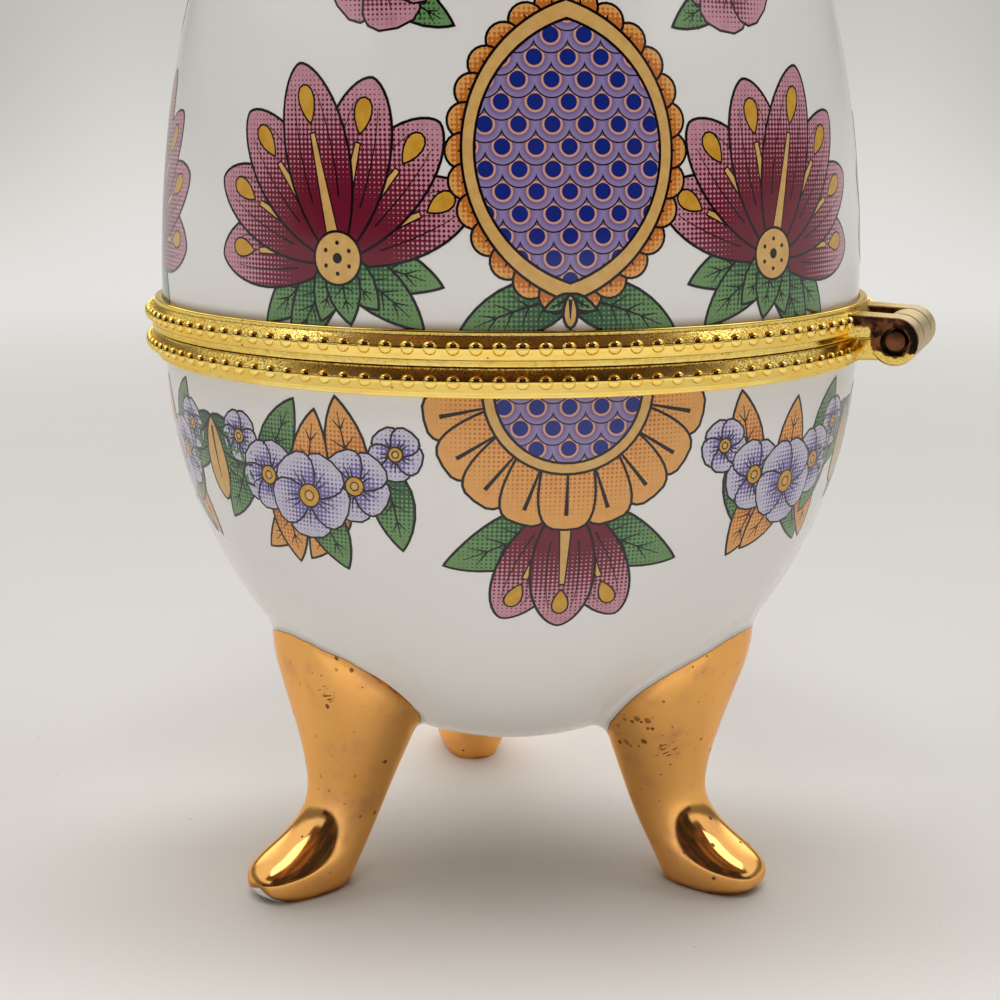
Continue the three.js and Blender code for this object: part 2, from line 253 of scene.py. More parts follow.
class Graph:
    """A node tree in few words. Most methods return the socket that holds their result."""

    def __init__(self, tree):
        self.tree = tree
        tree.nodes.clear()

    def node(self, kind, inputs=None, **settings):
        made = self.tree.nodes.new(kind)
        for key, value in settings.items():
            setattr(made, key, value)
        for key, value in (inputs or {}).items():
            if isinstance(value, bpy.types.NodeSocket):
                self.tree.links.new(value, made.inputs[key])
            else:
                made.inputs[key].default_value = value
        return made

    def math(self, operation, *values):
        return self.node("ShaderNodeMath", dict(enumerate(values)), operation=operation).outputs[0]

    def times(self, first, second):
        return self.math("MULTIPLY", first, second)

    def minus(self, first, second):
        return self.math("SUBTRACT", first, second)

    def most(self, first, second):
        return self.math("MAXIMUM", first, second)

    def scaled(self, value, factor, base):
        """The value times a factor, plus a base."""
        return self.math("MULTIPLY_ADD", value, factor, base)

    def step(self, value, low, high, start=0.0, end=1.0):
        """Goes smoothly from start to end while value goes from low to high."""
        inputs = {0: value, 1: low, 2: high, 3: start, 4: end}
        return self.node("ShaderNodeMapRange", inputs, interpolation_type="SMOOTHSTEP").outputs[0]

    def fall(self, value, low, high, start=1.0):
        return self.step(value, low, high, start, 0.0)

    def mix(self, factor, first, second):
        inputs = {0: factor, 6: first, 7: second}
        return self.node("ShaderNodeMix", inputs, data_type="RGBA").outputs[2]

    def place(self):
        return self.node("ShaderNodeTexCoord").outputs["Object"]

    def axes(self, vector):
        return tuple(self.node("ShaderNodeSeparateXYZ", {0: vector}).outputs)

    def vector_math(self, operation, *values):
        return self.node("ShaderNodeVectorMath", dict(enumerate(values)), operation=operation).outputs

    def length(self, vector):
        return self.vector_math("LENGTH", vector)["Value"]

    def stretched(self, vector, scale):
        return self.vector_math("MULTIPLY", vector, scale)[0]

    def apart(self, place, middle):
        """The way to a place from a point that is given in millimetres."""
        return self.vector_math("SUBTRACT", place, tuple(c * MM for c in middle))[0]

    def noise(self, vector, size, detail=2.0, roughness=0.5):
        """Noise whose features are about size millimetres across."""
        inputs = {"Vector": vector, "Scale": 1 / (size * MM), "Detail": detail, "Roughness": roughness}
        return self.node("ShaderNodeTexNoise", inputs).outputs[0]

    def attribute(self, name, output="Fac"):
        return self.node("ShaderNodeAttribute", attribute_name=name).outputs[output]

    def bump(self, height, depth):
        """A bump of the given depth in millimetres for a height that goes from 0 to 1."""
        inputs = {"Height": height, "Distance": depth * MM, "Strength": 1.0}
        return self.node("ShaderNodeBump", inputs).outputs[0]

    def surface(self, **inputs):
        named = {key.replace("_", " "): value for key, value in inputs.items()}
        shader = self.node("ShaderNodeBsdfPrincipled", named)
        self.node("ShaderNodeOutputMaterial", {"Surface": shader.outputs[0]})

    def glaze(self, place, colour, smoothest, roughest):
        """A clear glaze with a slow ripple over a colour."""
        self.surface(
            Base_Color=colour,
            Roughness=self.step(self.noise(place, 2.5), 0.3, 0.7, smoothest, roughest),
            Normal=self.bump(self.noise(place, 5.5, 2.0, 0.35), 0.05),
            IOR=1.5,
        )


def new_material(name):
    material = bpy.data.materials.new(name)
    material.use_nodes = True
    return material, Graph(material.node_tree)


def rgb(red, green, blue):
    """A colour given by its screen values from 0 to 255."""
    channels = [c / 255 for c in (red, green, blue)]
    return tuple(c / 12.92 if c <= 0.04045 else ((c + 0.055) / 1.055) ** 2.4 for c in channels) + (1.0,)


def specks(graph, place, size, amount, smallest, largest):
    """Round specks of many sizes, scattered: 1 inside a speck and 0 outside."""
    cells = graph.node("ShaderNodeTexVoronoi", {"Vector": place, "Scale": 1 / (size * MM)}).outputs
    pick = graph.node("ShaderNodeSeparateColor", {"Color": cells["Color"]}).outputs[0]
    radius = graph.step(pick, 1 - amount, 1.0, smallest / size, largest / size)
    ragged = graph.scaled(graph.noise(place, size / 3, 3.0), radius, graph.times(radius, 0.5))
    inside = graph.math("LESS_THAN", cells["Distance"], ragged)
    return graph.times(inside, graph.math("GREATER_THAN", pick, 1 - amount))


def porcelain_colour(graph, place):
    """White porcelain, slightly clouded."""
    return graph.mix(graph.noise(place, 14, 3.0), rgb(236, 236, 232), rgb(241, 240, 238))


def porcelain_material():
    """White porcelain with a few specks, and a brown band along the lip of the lid's collar that is painted shade
    and a painted reflection of the collar.
    """
    material, graph = new_material("glazed porcelain")
    place = graph.place()
    height = graph.axes(place)[2]
    lip = (PARTING + UPPER_COLLAR_HEIGHT) * MM
    on_lid = graph.math("GREATER_THAN", height, PARTING * MM)
    # Painted shade and painted reflection of the collar: a brown band on the lid just above the collar's lip
    collar_shade = graph.times(graph.fall(height, lip, lip + LID_COLLAR_SHADE_HEIGHT * MM, 0.5), on_lid)
    body = graph.mix(collar_shade, porcelain_colour(graph, place), rgb(150, 122, 96))
    speck = graph.times(specks(graph, place, 7.0, 0.25, 0.04, 0.16), 0.55)
    graph.glaze(place, graph.mix(speck, body, rgb(120, 84, 66)), 0.05, 0.10)
    return material


def about(graph, apart, core, spread, strength):
    """The strength within core millimetres, and none beyond spread."""
    return graph.fall(graph.length(apart), core * MM, spread * MM, strength)


def scratch_group(graph, place, middle, spread):
    """Short slanting strokes about a point that is given in millimetres."""
    apart = graph.apart(place, middle)
    turn = {"Vector": apart, "Angle": SCRATCH_SLANT}
    slanted = graph.node("ShaderNodeVectorRotate", turn, rotation_type="Y_AXIS").outputs[0]
    strokes = specks(graph, graph.stretched(slanted, (0.28, 0.28, 1.4)), 0.26, 0.85, 0.05, 0.1)
    return graph.times(strokes, about(graph, apart, 0.4 * spread, spread, 0.9))


def lustre_material():
    """Gold lustre on a leg, with bare porcelain past the painted edge that the gilding attribute gives, and a grey
    painted shade on that porcelain in the crease along the edge.
    """
    material, graph = new_material("gold lustre")
    place = graph.place()
    brush = graph.step(graph.noise(place, 2.4, 3.0), 0.3, 0.7, -0.07, 0.07)
    edge = graph.math("ADD", graph.attribute("gilding"), brush)
    gilt = graph.step(edge, -0.03, 0.03)
    gold = graph.mix(graph.noise(place, 4.0, 4.0), rgb(252, 183, 98), rgb(255, 196, 115))
    rosy = graph.step(graph.noise(place, 3.0, 5.0, 0.6), 0.5, 0.72, 0.0, 0.55)
    gold = graph.mix(rosy, gold, rgb(214, 150, 112))
    gold = graph.mix(graph.fall(edge, 0.02, 0.24, 0.7), gold, rgb(110, 62, 34))
    cluster = graph.step(graph.noise(place, 4.5, 1.0), 0.38, 0.58, 0.2, 0.85)
    pits = graph.times(specks(graph, place, 1.15, 0.62, 0.05, 0.22), cluster)
    fine_pits = graph.times(specks(graph, place, 0.7, 0.3, 0.03, 0.1), 0.65)
    middle, spread = PIT_GROUP
    crowd = about(graph, graph.apart(place, middle), 0.6 * spread, spread, 0.85)
    crowded_pits = graph.times(crowd, specks(graph, place, 0.8, 0.85, 0.12, 0.3))
    marks = graph.most(graph.most(pits, fine_pits), crowded_pits)
    for middle, spread in SCRATCHES:
        marks = graph.most(marks, scratch_group(graph, place, middle, spread))
    gold = graph.mix(marks, gold, rgb(92, 52, 34))
    polish = graph.step(graph.noise(place, 1.6, 3.0), 0.3, 0.7, 0.09, 0.15)
    rough = graph.scaled(marks, 0.35, polish)
    relief = graph.minus(graph.noise(place, 2.6, 2.0, 0.3), graph.times(marks, 0.5))
    # Painted shade: a grey band on the bare porcelain just past the gilding's edge, in the crease where the leg
    # meets the bowl, kept off the sole
    above_sole = graph.step(graph.axes(place)[2], 0.004, 0.006)
    corner = graph.times(graph.step(edge, -0.7, -0.02, 0.0, 0.42), above_sole)
    body = graph.mix(corner, porcelain_colour(graph, place), rgb(140, 141, 143))
    graph.surface(
        Base_Color=graph.mix(gilt, body, gold),
        Metallic=graph.times(gilt, 0.94),
        Roughness=graph.scaled(gilt, graph.minus(rough, 0.07), 0.07),
        Normal=graph.bump(relief, 0.03),
        Specular_Tint=rgb(255, 232, 206),
    )
    return material


def brass_material(name, light, dark, streak, tarnish, roughness):
    """Gilt brass, wrinkled and speckled. The mesh says where it is worn, where it is grimy, where it has painted
    shade, and where it is rubbed bare.
    """
    material, graph = new_material(name)
    place = graph.place()
    worn = graph.attribute("worn")
    grime = graph.attribute("grime")
    cloud = graph.noise(place, 2.2, 3.0)
    gold = graph.mix(graph.step(cloud, 0.3, 0.7), light, dark)
    drawn = graph.noise(graph.stretched(place, (0.2, 0.2, 3.0)), 0.45, 4.0, 0.7)
    gold = graph.mix(graph.step(drawn, 0.5, 0.66, 0.0, 0.5), gold, streak)
    fine = graph.scaled(worn, 0.1, graph.noise(place, 0.15, 5.0, 0.75))
    speckle = graph.times(graph.step(fine, 0.56, 0.64), graph.scaled(worn, 0.6, 0.1))
    marks = graph.most(graph.times(specks(graph, place, 0.75, 0.3, 0.03, 0.12), 0.75), speckle)
    gold = graph.mix(marks, gold, tarnish)
    rubbed = graph.times(graph.attribute("bare"), graph.step(cloud, 0.25, 0.6, 0.85, 1.0))
    gold = graph.mix(rubbed, gold, rgb(200, 190, 178))
    # Dark rust-coloured patches: real grime on the collars and the pin, and painted shade on the knuckles' ends,
    # beside the hinge and in the bore
    darkening = graph.scaled(graph.noise(place, 0.5, 4.0, 0.7), 0.7, graph.minus(grime, 0.35))
    darkening = graph.step(darkening, 0.25, 0.75)
    blotch = graph.step(graph.noise(place, 0.8, 4.0, 0.7), 0.4, 0.6)
    rust_and_shade_colour = graph.mix(blotch, rgb(44, 29, 25), rgb(132, 84, 54))
    # Above 1 the patches turn near-black: a painted shade beside the pin
    rust_and_shade_colour = graph.mix(graph.step(grime, 1.05, 1.5), rust_and_shade_colour, rgb(34, 26, 27))
    wrinkles = graph.noise(graph.stretched(place, (1.0, 1.0, 5.0)), 0.9, 4.0, 0.6)
    relief = graph.scaled(wrinkles, 0.2, graph.noise(place, 0.13, 3.0, 0.6))
    dull = graph.most(graph.most(marks, darkening), rubbed)
    graph.surface(
        Base_Color=graph.mix(darkening, gold, rust_and_shade_colour),
        Specular_Tint=rgb(255, 238, 190),
        Metallic=1.0,
        Roughness=graph.scaled(dull, 0.28, roughness),
        Normal=graph.bump(graph.minus(relief, graph.times(marks, 0.3)), 0.0025),
    )
    return material


def cement_material():
    material, graph = new_material("bedding cement")
    place = graph.place()
    graph.surface(
        Base_Color=graph.mix(graph.noise(place, 0.6, 4.0), rgb(196, 186, 164), rgb(222, 214, 196)),
        Roughness=0.9,
        Normal=graph.bump(graph.noise(place, 0.25, 3.0), 0.06),
    )
    return material


def add_object(name, data):
    made = bpy.data.objects.new(name, data)
    bpy.context.scene.collection.objects.link(made)
    return made


def make_piece(name, points, faces, materials, body, face_materials=None, sharp=35.0):
    """A smooth-shaded mesh from points in millimetres, riding on a body."""
    mesh = bpy.data.meshes.new(name)
    mesh.from_pydata([tuple(p) for p in np.asarray(points) * MM], [], faces)
    mesh.validate()
    for material in materials:
        mesh.materials.append(material)
    if face_materials is not None:
        mesh.polygons.foreach_set("material_index", face_materials)
    mesh.shade_smooth()
    mesh.set_sharp_from_angle(angle=math.radians(sharp))
    piece = add_object(name, mesh)
    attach(piece, body)
    return piece


def set_attributes(piece, **values):
    """What the points say to the material: each value is one number for all points or one for each."""
    for name, value in values.items():
        data = piece.data.attributes.new(name, "FLOAT", "POINT").data
        data.foreach_set("value", np.full(len(data), value, np.float32))


def round_angles(count):
    return np.arange(count) * 2 * math.pi / count


def neighbours(count):
    """Each place on a ring with the one after it."""
    return [(i, (i + 1) % count) for i in range(count)]


def grid_faces(rows, columns, joined=False):
    """Quads over rows of points that close on themselves. The end rows are joined, or else capped."""
    faces = []
    for row in range(rows if joined else rows - 1):
        low = row * columns
        high = (row + 1) % rows * columns
        faces += [(low + i, low + j, high + j, high + i) for i, j in neighbours(columns)]
    if not joined:
        first = tuple(range(columns))
        faces += [first[::-1], tuple((rows - 1) * columns + i for i in first)]
    return faces


def outward(azimuth):
    """Unit vector from the egg's axis towards an azimuth in degrees."""
    angle = np.radians(azimuth)
    return np.array([np.sin(angle), -np.cos(angle), 0.0])


def turned(profile, segments):
    """Points of a profile of (radius, height) turned about the Z axis."""
    angles = round_angles(segments)
    radius, height = profile.T[:, :, None]
    rows = [radius * np.cos(angles), radius * np.sin(angles), np.repeat(height, segments, 1)]
    return np.stack(rows, 2).reshape(-1, 3)


def make_shell(name, rim, depth, direction, material, body, node):
    """A porcelain shell between half ellipses that meet at its rim."""
    sweep = np.linspace(math.pi / 2 - POLE_RADIUS / EGG_RADIUS, 0, ARC_STEPS)
    outside = np.stack([EGG_RADIUS * np.cos(sweep), depth * np.sin(sweep)], 1)
    inside = np.stack([MOUTH_RADIUS * np.cos(sweep), (depth - WALL) * np.sin(sweep)], 1)[::-1]
    profile = np.concatenate([outside, inside])
    profile[:, 1] = rim + direction * profile[:, 1]
    if direction > 0:
        profile = profile[::-1]
    points = turned(profile, RING_SEGMENTS)
    faces = grid_faces(len(profile), RING_SEGMENTS)
    piece = make_piece(name, points, faces, [material], body)
    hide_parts(node)


def curve(start, corner, end, steps):
    """Points from start to end along a curve that leans into a corner."""
    shares = np.linspace(0, 1, steps + 1)
    return [(1 - t) ** 2 * start + 2 * t * (1 - t) * corner + t ** 2 * end for t in shares]


def rounded(corners, steps=4):
    """A closed outline of corners (x, y, reach), each replaced by a curve that starts its reach away."""
    corners = np.asarray(corners, float)
    places = corners[:, :2]
    made = []
    for i, corner in enumerate(places):
        before = places[i - 1] - corner
        after = places[(i + 1) % len(places)] - corner
        room = min(np.linalg.norm(before), np.linalg.norm(after)) * 0.49
        reach = min(corners[i, 2], room)
        if reach == 0:
            made.append(corner)
            continue
        start = corner + before / np.linalg.norm(before) * reach
        end = corner + after / np.linalg.norm(after) * reach
        made += curve(start, corner, end, steps)
    return np.array(made)


def collar_section(height, ridge, band):
    """(radius, rise from the parting plane) round a collar: ridge, rolled lip on the porcelain, flange."""
    groove = WAIST_RADIUS + (RIDGE_RADIUS - WAIST_RADIUS) * band
    groove_rise = EDGE_GAP + (ridge - EDGE_GAP) * band
    return rounded([
        (groove, EDGE_GAP, 0.07),
        (groove, groove_rise - GROOVE_DEPTH, GROOVE_ROUNDING),
        (groove - GROOVE_DEPTH, groove_rise, GROOVE_ROUNDING),
        (groove, groove_rise + GROOVE_DEPTH, GROOVE_ROUNDING),
        (RIDGE_RADIUS, ridge, RIDGE_ROUNDING),
        (LIP_RADIUS, height - LIP_HEIGHT, 0.05),
        (LIP_RADIUS, height, 0.13),
        (LIP_TOUCH, height, 0.1),
        (LIP_TOUCH, height - LIP_HEIGHT, 0.05),
        (COLLAR_INSIDE, height - 2 * LIP_HEIGHT, 0.05),
        (COLLAR_INSIDE, FLANGE_BACK, 0.0),
        (MOUTH_RADIUS, FLANGE_BACK, 0.1),
        (MOUTH_RADIUS, EDGE_GAP, FLANGE_ROUNDING),
    ])


def bead_points(azimuth, height):
    """The outer part of a flattened ball that is sunk in the ridge."""
    out = outward(azimuth)
    side = outward(azimuth + 90)
    middle = out * (BEAD_REACH - BEAD_RISE) + UP * height
    points = [middle + out * BEAD_RISE]
    for polar in np.radians(np.linspace(0, BEAD_POLAR_END, BEAD_RINGS + 1))[1:]:
        for around in round_angles(BEAD_SEGMENTS):
            across = side * math.cos(around) + UP * math.sin(around)
            points.append(middle + out * BEAD_RISE * math.cos(polar) + across * BEAD_RADIUS * math.sin(polar))
    return points


def bead_faces(first):
    """A fan about the bead's tip, rings of quads and a cap at its back."""
    pairs = neighbours(BEAD_SEGMENTS)
    inner = first + 1
    faces = [(first, inner + i, inner + j) for i, j in pairs]
    for _ in range(BEAD_RINGS - 1):
        outer = inner + BEAD_SEGMENTS
        faces += [(inner + i, outer + i, outer + j, inner + j) for i, j in pairs]
        inner = outer
    faces.append(tuple(inner + i for i, _ in pairs)[::-1])
    return faces


def make_collar(name, height, ridge, band, direction, material, body, node):
    section = collar_section(height, ridge, band)
    section[:, 1] = PARTING + direction * section[:, 1]
    section = section[::direction]
    segments = 2 * RING_SEGMENTS
    points = list(turned(section, segments))
    faces = grid_faces(len(section), segments, joined=True)
    plain = len(points)
    clear = math.degrees((BARREL_LENGTH / 2 + BEAD_RADIUS) / PIN_DISTANCE)
    for bead in range(BEADS):
        from_hinge = (bead + 0.5) * 360 / BEADS
        if clear < from_hinge < 360 - clear:
            faces += bead_faces(len(points))
            points += bead_points(HINGE_AZIMUTH + from_hinge, PARTING + direction * ridge)
    points = np.array(points)
    piece = make_piece(name, points, faces, [material], body, sharp=50)
    rise = direction * (points[:, 2] - PARTING)
    radius = np.hypot(points[:, 0], points[:, 1])
    on_ring = (np.arange(len(points)) < plain) & (radius > COLLAR_OUTSIDE - 0.05)
    looks_up = direction * (rise - ridge) > 0.02
    azimuth = np.degrees(np.arctan2(points[:, 0], -points[:, 1]))
    from_hinge = np.abs((azimuth - HINGE_AZIMUTH + 180) % 360 - 180)
    # Painted shade together with grime on the collars beside the hinge, fading away from it
    hinge_shade_and_grime = np.clip((clear - from_hinge) / HINGE_SHADE_AND_GRIME_FADE + 0.5, 0, 1) * HINGE_SHADE_AND_GRIME
    in_band = rise < EDGE_GAP + (ridge - EDGE_GAP) * band
    set_attributes(
        piece,
        worn=on_ring & looks_up & (rise < height - LIP_HEIGHT / 2),
        grime=on_ring * np.where(in_band, np.maximum(hinge_shade_and_grime, BAND_GRIME), hinge_shade_and_grime),
        bare=0.0,
    )
    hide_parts(node)


def catmull_rom(stations, share):
    """The solids' own curve through stations, at a share of its length counted in stations."""
    last = len(stations) - 1
    i = min(int(share * last), last - 1)
    t = share * last - i
    p0, p1, p2, p3 = (stations[min(max(k, 0), last)] for k in range(i - 1, i + 3))
    v1 = (p2 - p0) / 2
    v2 = (p3 - p1) / 2
    return (2 * p1 - 2 * p2 + v1 + v2) * t ** 3 + (3 * p2 - 3 * p1 - 2 * v1 - v2) * t ** 2 + v1 * t + p1


def cup_radius_at(height):
    return EGG_RADIUS * math.sqrt(1 - ((CUP_RIM - height) / CUP_DEPTH) ** 2)


def leg_stations(foot_radius):
    """Rows of (height, back, front, width) from the sole up to where the leg dies into the bowl."""
    heel = foot_radius - FOOT_HALF_LENGTH
    toe = foot_radius + FOOT_HALF_LENGTH
    ankle = foot_radius - ANKLE_BACK_SHIFT
    knee_height = LEG_TOP - KNEE_DROP
    return np.array([
        (0, heel + SOLE_ROUNDING, toe - SOLE_ROUNDING, FOOT_WIDTH - 2 * SOLE_ROUNDING),
        (TOE_HEIGHT, heel, toe, FOOT_WIDTH),
        (ANKLE_HEIGHT, ankle - ANKLE_DEPTH / 2, ankle + ANKLE_DEPTH / 2, ANKLE_WIDTH),
        (knee_height, ROOT_RADIUS, cup_radius_at(knee_height) + KNEE_PROUD, KNEE_WIDTH),
        (LEG_TOP, ROOT_RADIUS, cup_radius_at(LEG_TOP), LEG_TOP_WIDTH),
    ])


def cup_depth_of(points):
    """About how far points lie outside the bowl's outer face, in millimetres."""
    radius = np.hypot(points[..., 0], points[..., 1]) / EGG_RADIUS
    height = (points[..., 2] - CUP_RIM) / CUP_DEPTH
    level = np.hypot(radius, height)
    slope = np.hypot(radius / EGG_RADIUS, height / CUP_DEPTH) / np.maximum(level, TINY)
    return (level - 1) / slope


def cup_normal(point):
    x, y, z = point
    normal = np.array([x / EGG_RADIUS ** 2, y / EGG_RADIUS ** 2, (z - CUP_RIM) / CUP_DEPTH ** 2])
    return normal / np.linalg.norm(normal)


def onto_cup(point, sunk):
    """The point moved along the bowl's normal to lie sunk millimetres under its outer face."""
    for _ in range(3):
        point = point - cup_normal(point) * (cup_depth_of(point) + sunk)
    return point


def squared(values):
    """Sines or cosines drawn out towards 1, which turns an ellipse into a squarer oval."""
    return np.sign(values) * np.abs(values) ** (2 / OVAL_POWER)


def leg_columns(foot_radius, azimuth):
    """Columns of points up a leg, to be cut where they meet the bowl."""
    stations = leg_stations(foot_radius)
    out = outward(azimuth)
    side = outward(azimuth + 90)
    along = squared(np.cos(round_angles(LEG_SIDES)))
    across = squared(np.sin(round_angles(LEG_SIDES)))
    rows = []
    for share in np.linspace(0, 1, LEG_STEPS + 1):
        height, back, front, width = catmull_rom(stations, share)
        reach = (front + back) / 2 + along * (front - back) / 2
        rows.append(reach[:, None] * out + (across * width / 2)[:, None] * side + UP * height)
    return np.array(rows).transpose(1, 0, 2)


def lengths_along(line):
    """How far each point of a line is from its start, along it."""
    return np.concatenate([[0], np.cumsum(np.linalg.norm(np.diff(line, axis=0), axis=1))])


def resampled(line, count):
    length = lengths_along(line)
    wanted = np.linspace(0, length[-1], count)
    return np.stack([np.interp(wanted, length, line[:, k]) for k in range(3)], 1)


def cut_at_cup(column):
    """The column up to the bowl, resampled, with its last point on the bowl."""
    depth = cup_depth_of(column)
    inside = np.nonzero(depth < 0)[0]
    last = inside[0] if len(inside) else len(column) - 1
    a, b = column[last - 1], column[last]
    share = depth[last - 1] / max(depth[last - 1] - depth[last], TINY)
    return resampled(np.concatenate([column[:last], [a + (b - a) * min(share, 1.0)]]), LEG_STEPS)


def gilding_shift(side, around):
    """How far past the fillet's start the gilding ends, at an angle round the leg from its toe."""
    mean, toe, sides, lean = GILDING[side]
    return mean + toe * math.cos(around) + sides * math.cos(2 * around) + lean * math.sin(2 * around)


def make_leg(side, fillet, material):
    """A leg that meets the bowl in a fillet, with the edge of its gilding as an attribute."""
    sole = SOLES[side + "_sole"]
    foot_radius = math.hypot(sole[0], sole[1])
    azimuth = math.degrees(math.atan2(sole[0], -sole[1]))
    columns = [cut_at_cup(column) for column in leg_columns(foot_radius, azimuth)]
    ends = np.array([column[-1] for column in columns])
    middle = ends.mean(0)
    lines = []
    gilding = []
    for i, column in enumerate(columns):
        meet = column[-1]
        tangent = ends[(i + 1) % LEG_SIDES] - ends[i - 1]
        away = np.cross(tangent, cup_normal(meet))
        away /= np.linalg.norm(away)
        if np.dot(away, meet - middle) < 0:
            away = -away
        kept = resampled(column[np.linalg.norm(column - meet, axis=1) > fillet], LEG_STEPS)
        end = onto_cup(meet + away * fillet, FILLET_SINK)
        buried = onto_cup(meet + away * fillet * ROOT_SHARE, ROOT_SINK)
        line = np.concatenate([kept, curve(kept[-1], meet, end, FILLET_STEPS)[1:], [buried]])
        lines.append(line)
        length = lengths_along(line)
        around = 2 * math.pi * i / LEG_SIDES
        edge = length[LEG_STEPS + GILDED_FILLET_STEPS] + gilding_shift(side, around)
        bare = TOE_BARE[side] * max(0.0, math.cos(around - TOE_BARE_TURN)) ** TOE_BARE_POWER
        gilding.append(np.minimum(edge - length, (line[:, 2] - bare + SOLE_COVER) / SOLE_COVER_FADE))
    points = np.array(lines).transpose(1, 0, 2)
    faces = grid_faces(len(points), LEG_SIDES)
    name = "gilded_" + side + "_leg"
    piece = make_piece(name, points.reshape(-1, 3), faces, [material], "base", sharp=60)
    set_attributes(piece, gilding=np.array(gilding).T.ravel())
    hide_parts(side + "_leg")


def on_circle(radius, angles):
    return np.stack([radius * np.cos(angles), radius * np.sin(angles)], 1)


def make_knuckle(name, middle, length, direction, material, body, node):
    """A lug from the collar with a bored barrel round the pin, with painted shade on the upper part of its ends,
    beside the pin and in the bore, and rubbed on the barrel.
    """
    reach = PIN_DISTANCE - COLLAR_INSIDE
    closing = math.asin(LUG_GAP / BARREL_RADIUS)
    barrel = on_circle(BARREL_RADIUS, np.linspace(math.pi / 2, -math.pi - closing, BARREL_STEPS))
    lug = [(-reach, LUG_GAP), (-reach, BARREL_RADIUS + LUG_TILT)]
    outline = np.concatenate([lug, barrel]) * (1, direction)
    bore = on_circle(BORE_RADIUS, round_angles(BORE_SIDES))
    points, faces = bored_slab(outline, bore, length, KNUCKLE_EDGE)
    out, above, along = points.T
    placed = (
        outward(HINGE_AZIMUTH) * (PIN_DISTANCE + out)[:, None]
        + UP * (PARTING + above)[:, None]
        - PIN_AXIS * (middle + along)[:, None]
    )
    piece = make_piece(name, placed, faces, [material], body, sharp=30)
    from_pin = np.hypot(out, above)
    at_end = np.abs(along) > length / 2 - SLACK
    in_bore = from_pin < BORE_RADIUS + SLACK
    on_lug = out < -BARREL_RADIUS
    # Painted shade: the upper part of each end face, a near-black patch beside the pin, and the whole bore are
    # darkened through the attribute set below
    unshaded_below = np.where(on_lug, BORE_RADIUS - LUG_SHADE_DROP, BARREL_SHADE_RISE - BORE_RADIUS)
    darkening = np.clip((above - unshaded_below) / END_SHADE_FADE, 0, 1) * END_SHADE_LEVEL
    pin_shade = np.clip(out - PIN_SHADE_START, 0, PIN_SHADE_MOST) * (above > PIN_SHADE_LOW)
    set_attributes(
        piece,
        grime=np.where(in_bore, 1.0, np.where(at_end, darkening + pin_shade, 0.0)),
        bare=(out > RUBBED_START) & (from_pin > BARREL_RADIUS - KNUCKLE_EDGE) & ~at_end,
        worn=at_end * END_WEAR,
    )
    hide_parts(node)


def bored_slab(outline, bore, length, bevel):
    """A slab along its third axis with an outline and a round bore, its outer edges eased by bevel."""
    count, holes = len(outline), len(bore)
    outline = anticlockwise(outline)
    eased = grown(outline, -bevel)

    def in_slab(point):
        return inside_outline(point, eased) and not inside_outline(point, bore)

    rims = np.concatenate([eased, bore])
    cap = list(rims)
    for x in np.arange(eased[:, 0].min(), eased[:, 0].max(), CAP_GRID):
        for y in np.arange(eased[:, 1].min(), eased[:, 1].max(), CAP_GRID):
            if np.linalg.norm(rims - (x, y), axis=1).min() > 0.6 * CAP_GRID and in_slab((x, y)):
                cap.append((x, y))
    edges = neighbours(count) + [(count + i, count + j) for i, j in neighbours(holes)]
    triangles = delaunay_2d_cdt([Vector(p) for p in cap], edges, [], 0, 1e-6)[2]
    cap = np.array(cap)
    kept = [tuple(triangle) for triangle in triangles if in_slab(cap[list(triangle)].mean(0))]
    half = length / 2
    points = [(x, y, -half) for x, y in cap]
    points += [(x, y, z) for z in (bevel - half, half - bevel) for x, y in outline]
    points += [(x, y, half) for x, y in cap]
    sides = [0, len(cap), len(cap) + count, len(cap) + 2 * count]
    faces = [triangle[::-1] for triangle in kept]
    faces += [tuple(sides[3] + i for i in triangle) for triangle in kept]
    for low, high in zip(sides, sides[1:]):
        faces += [(low + i, low + j, high + j, high + i) for i, j in edges[:count]]
    faces += [(a, sides[3] + a, sides[3] + b, b) for a, b in edges[count:]]
    return np.array(points), faces


def inside_outline(point, outline):
    x, y = point
    after = np.roll(outline, -1, 0)
    spans = (outline[:, 1] > y) != (after[:, 1] > y)
    rise = np.where(spans, after[:, 1] - outline[:, 1], 1.0)
    cross = outline[:, 0] + (y - outline[:, 1]) / rise * (after[:, 0] - outline[:, 0])
    return bool(np.sum(spans & (cross > x)) % 2)


def make_pin(material):
    """A cut wire with slightly domed, eased ends."""
    half = BARREL_LENGTH / 2 - PIN_RECESS
    profile = [(radius, inset - half) for radius, inset in PIN_END]
    profile += [(radius, -height) for radius, height in reversed(profile)]
    out = outward(HINGE_AZIMUTH)
    points = []
    for radius, along in profile:
        for angle in round_angles(PIN_SIDES):
            across = out * math.cos(angle) + UP * math.sin(angle)
            points.append(PIN_CENTRE + PIN_AXIS * along + across * radius)
    faces = [face[::-1] for face in grid_faces(len(profile), PIN_SIDES)]
    piece = make_piece("hinge_wire", points, faces, [material], "base")
    set_attributes(piece, worn=0.5, grime=0.3, bare=0.0)
    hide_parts("hinge_pin")


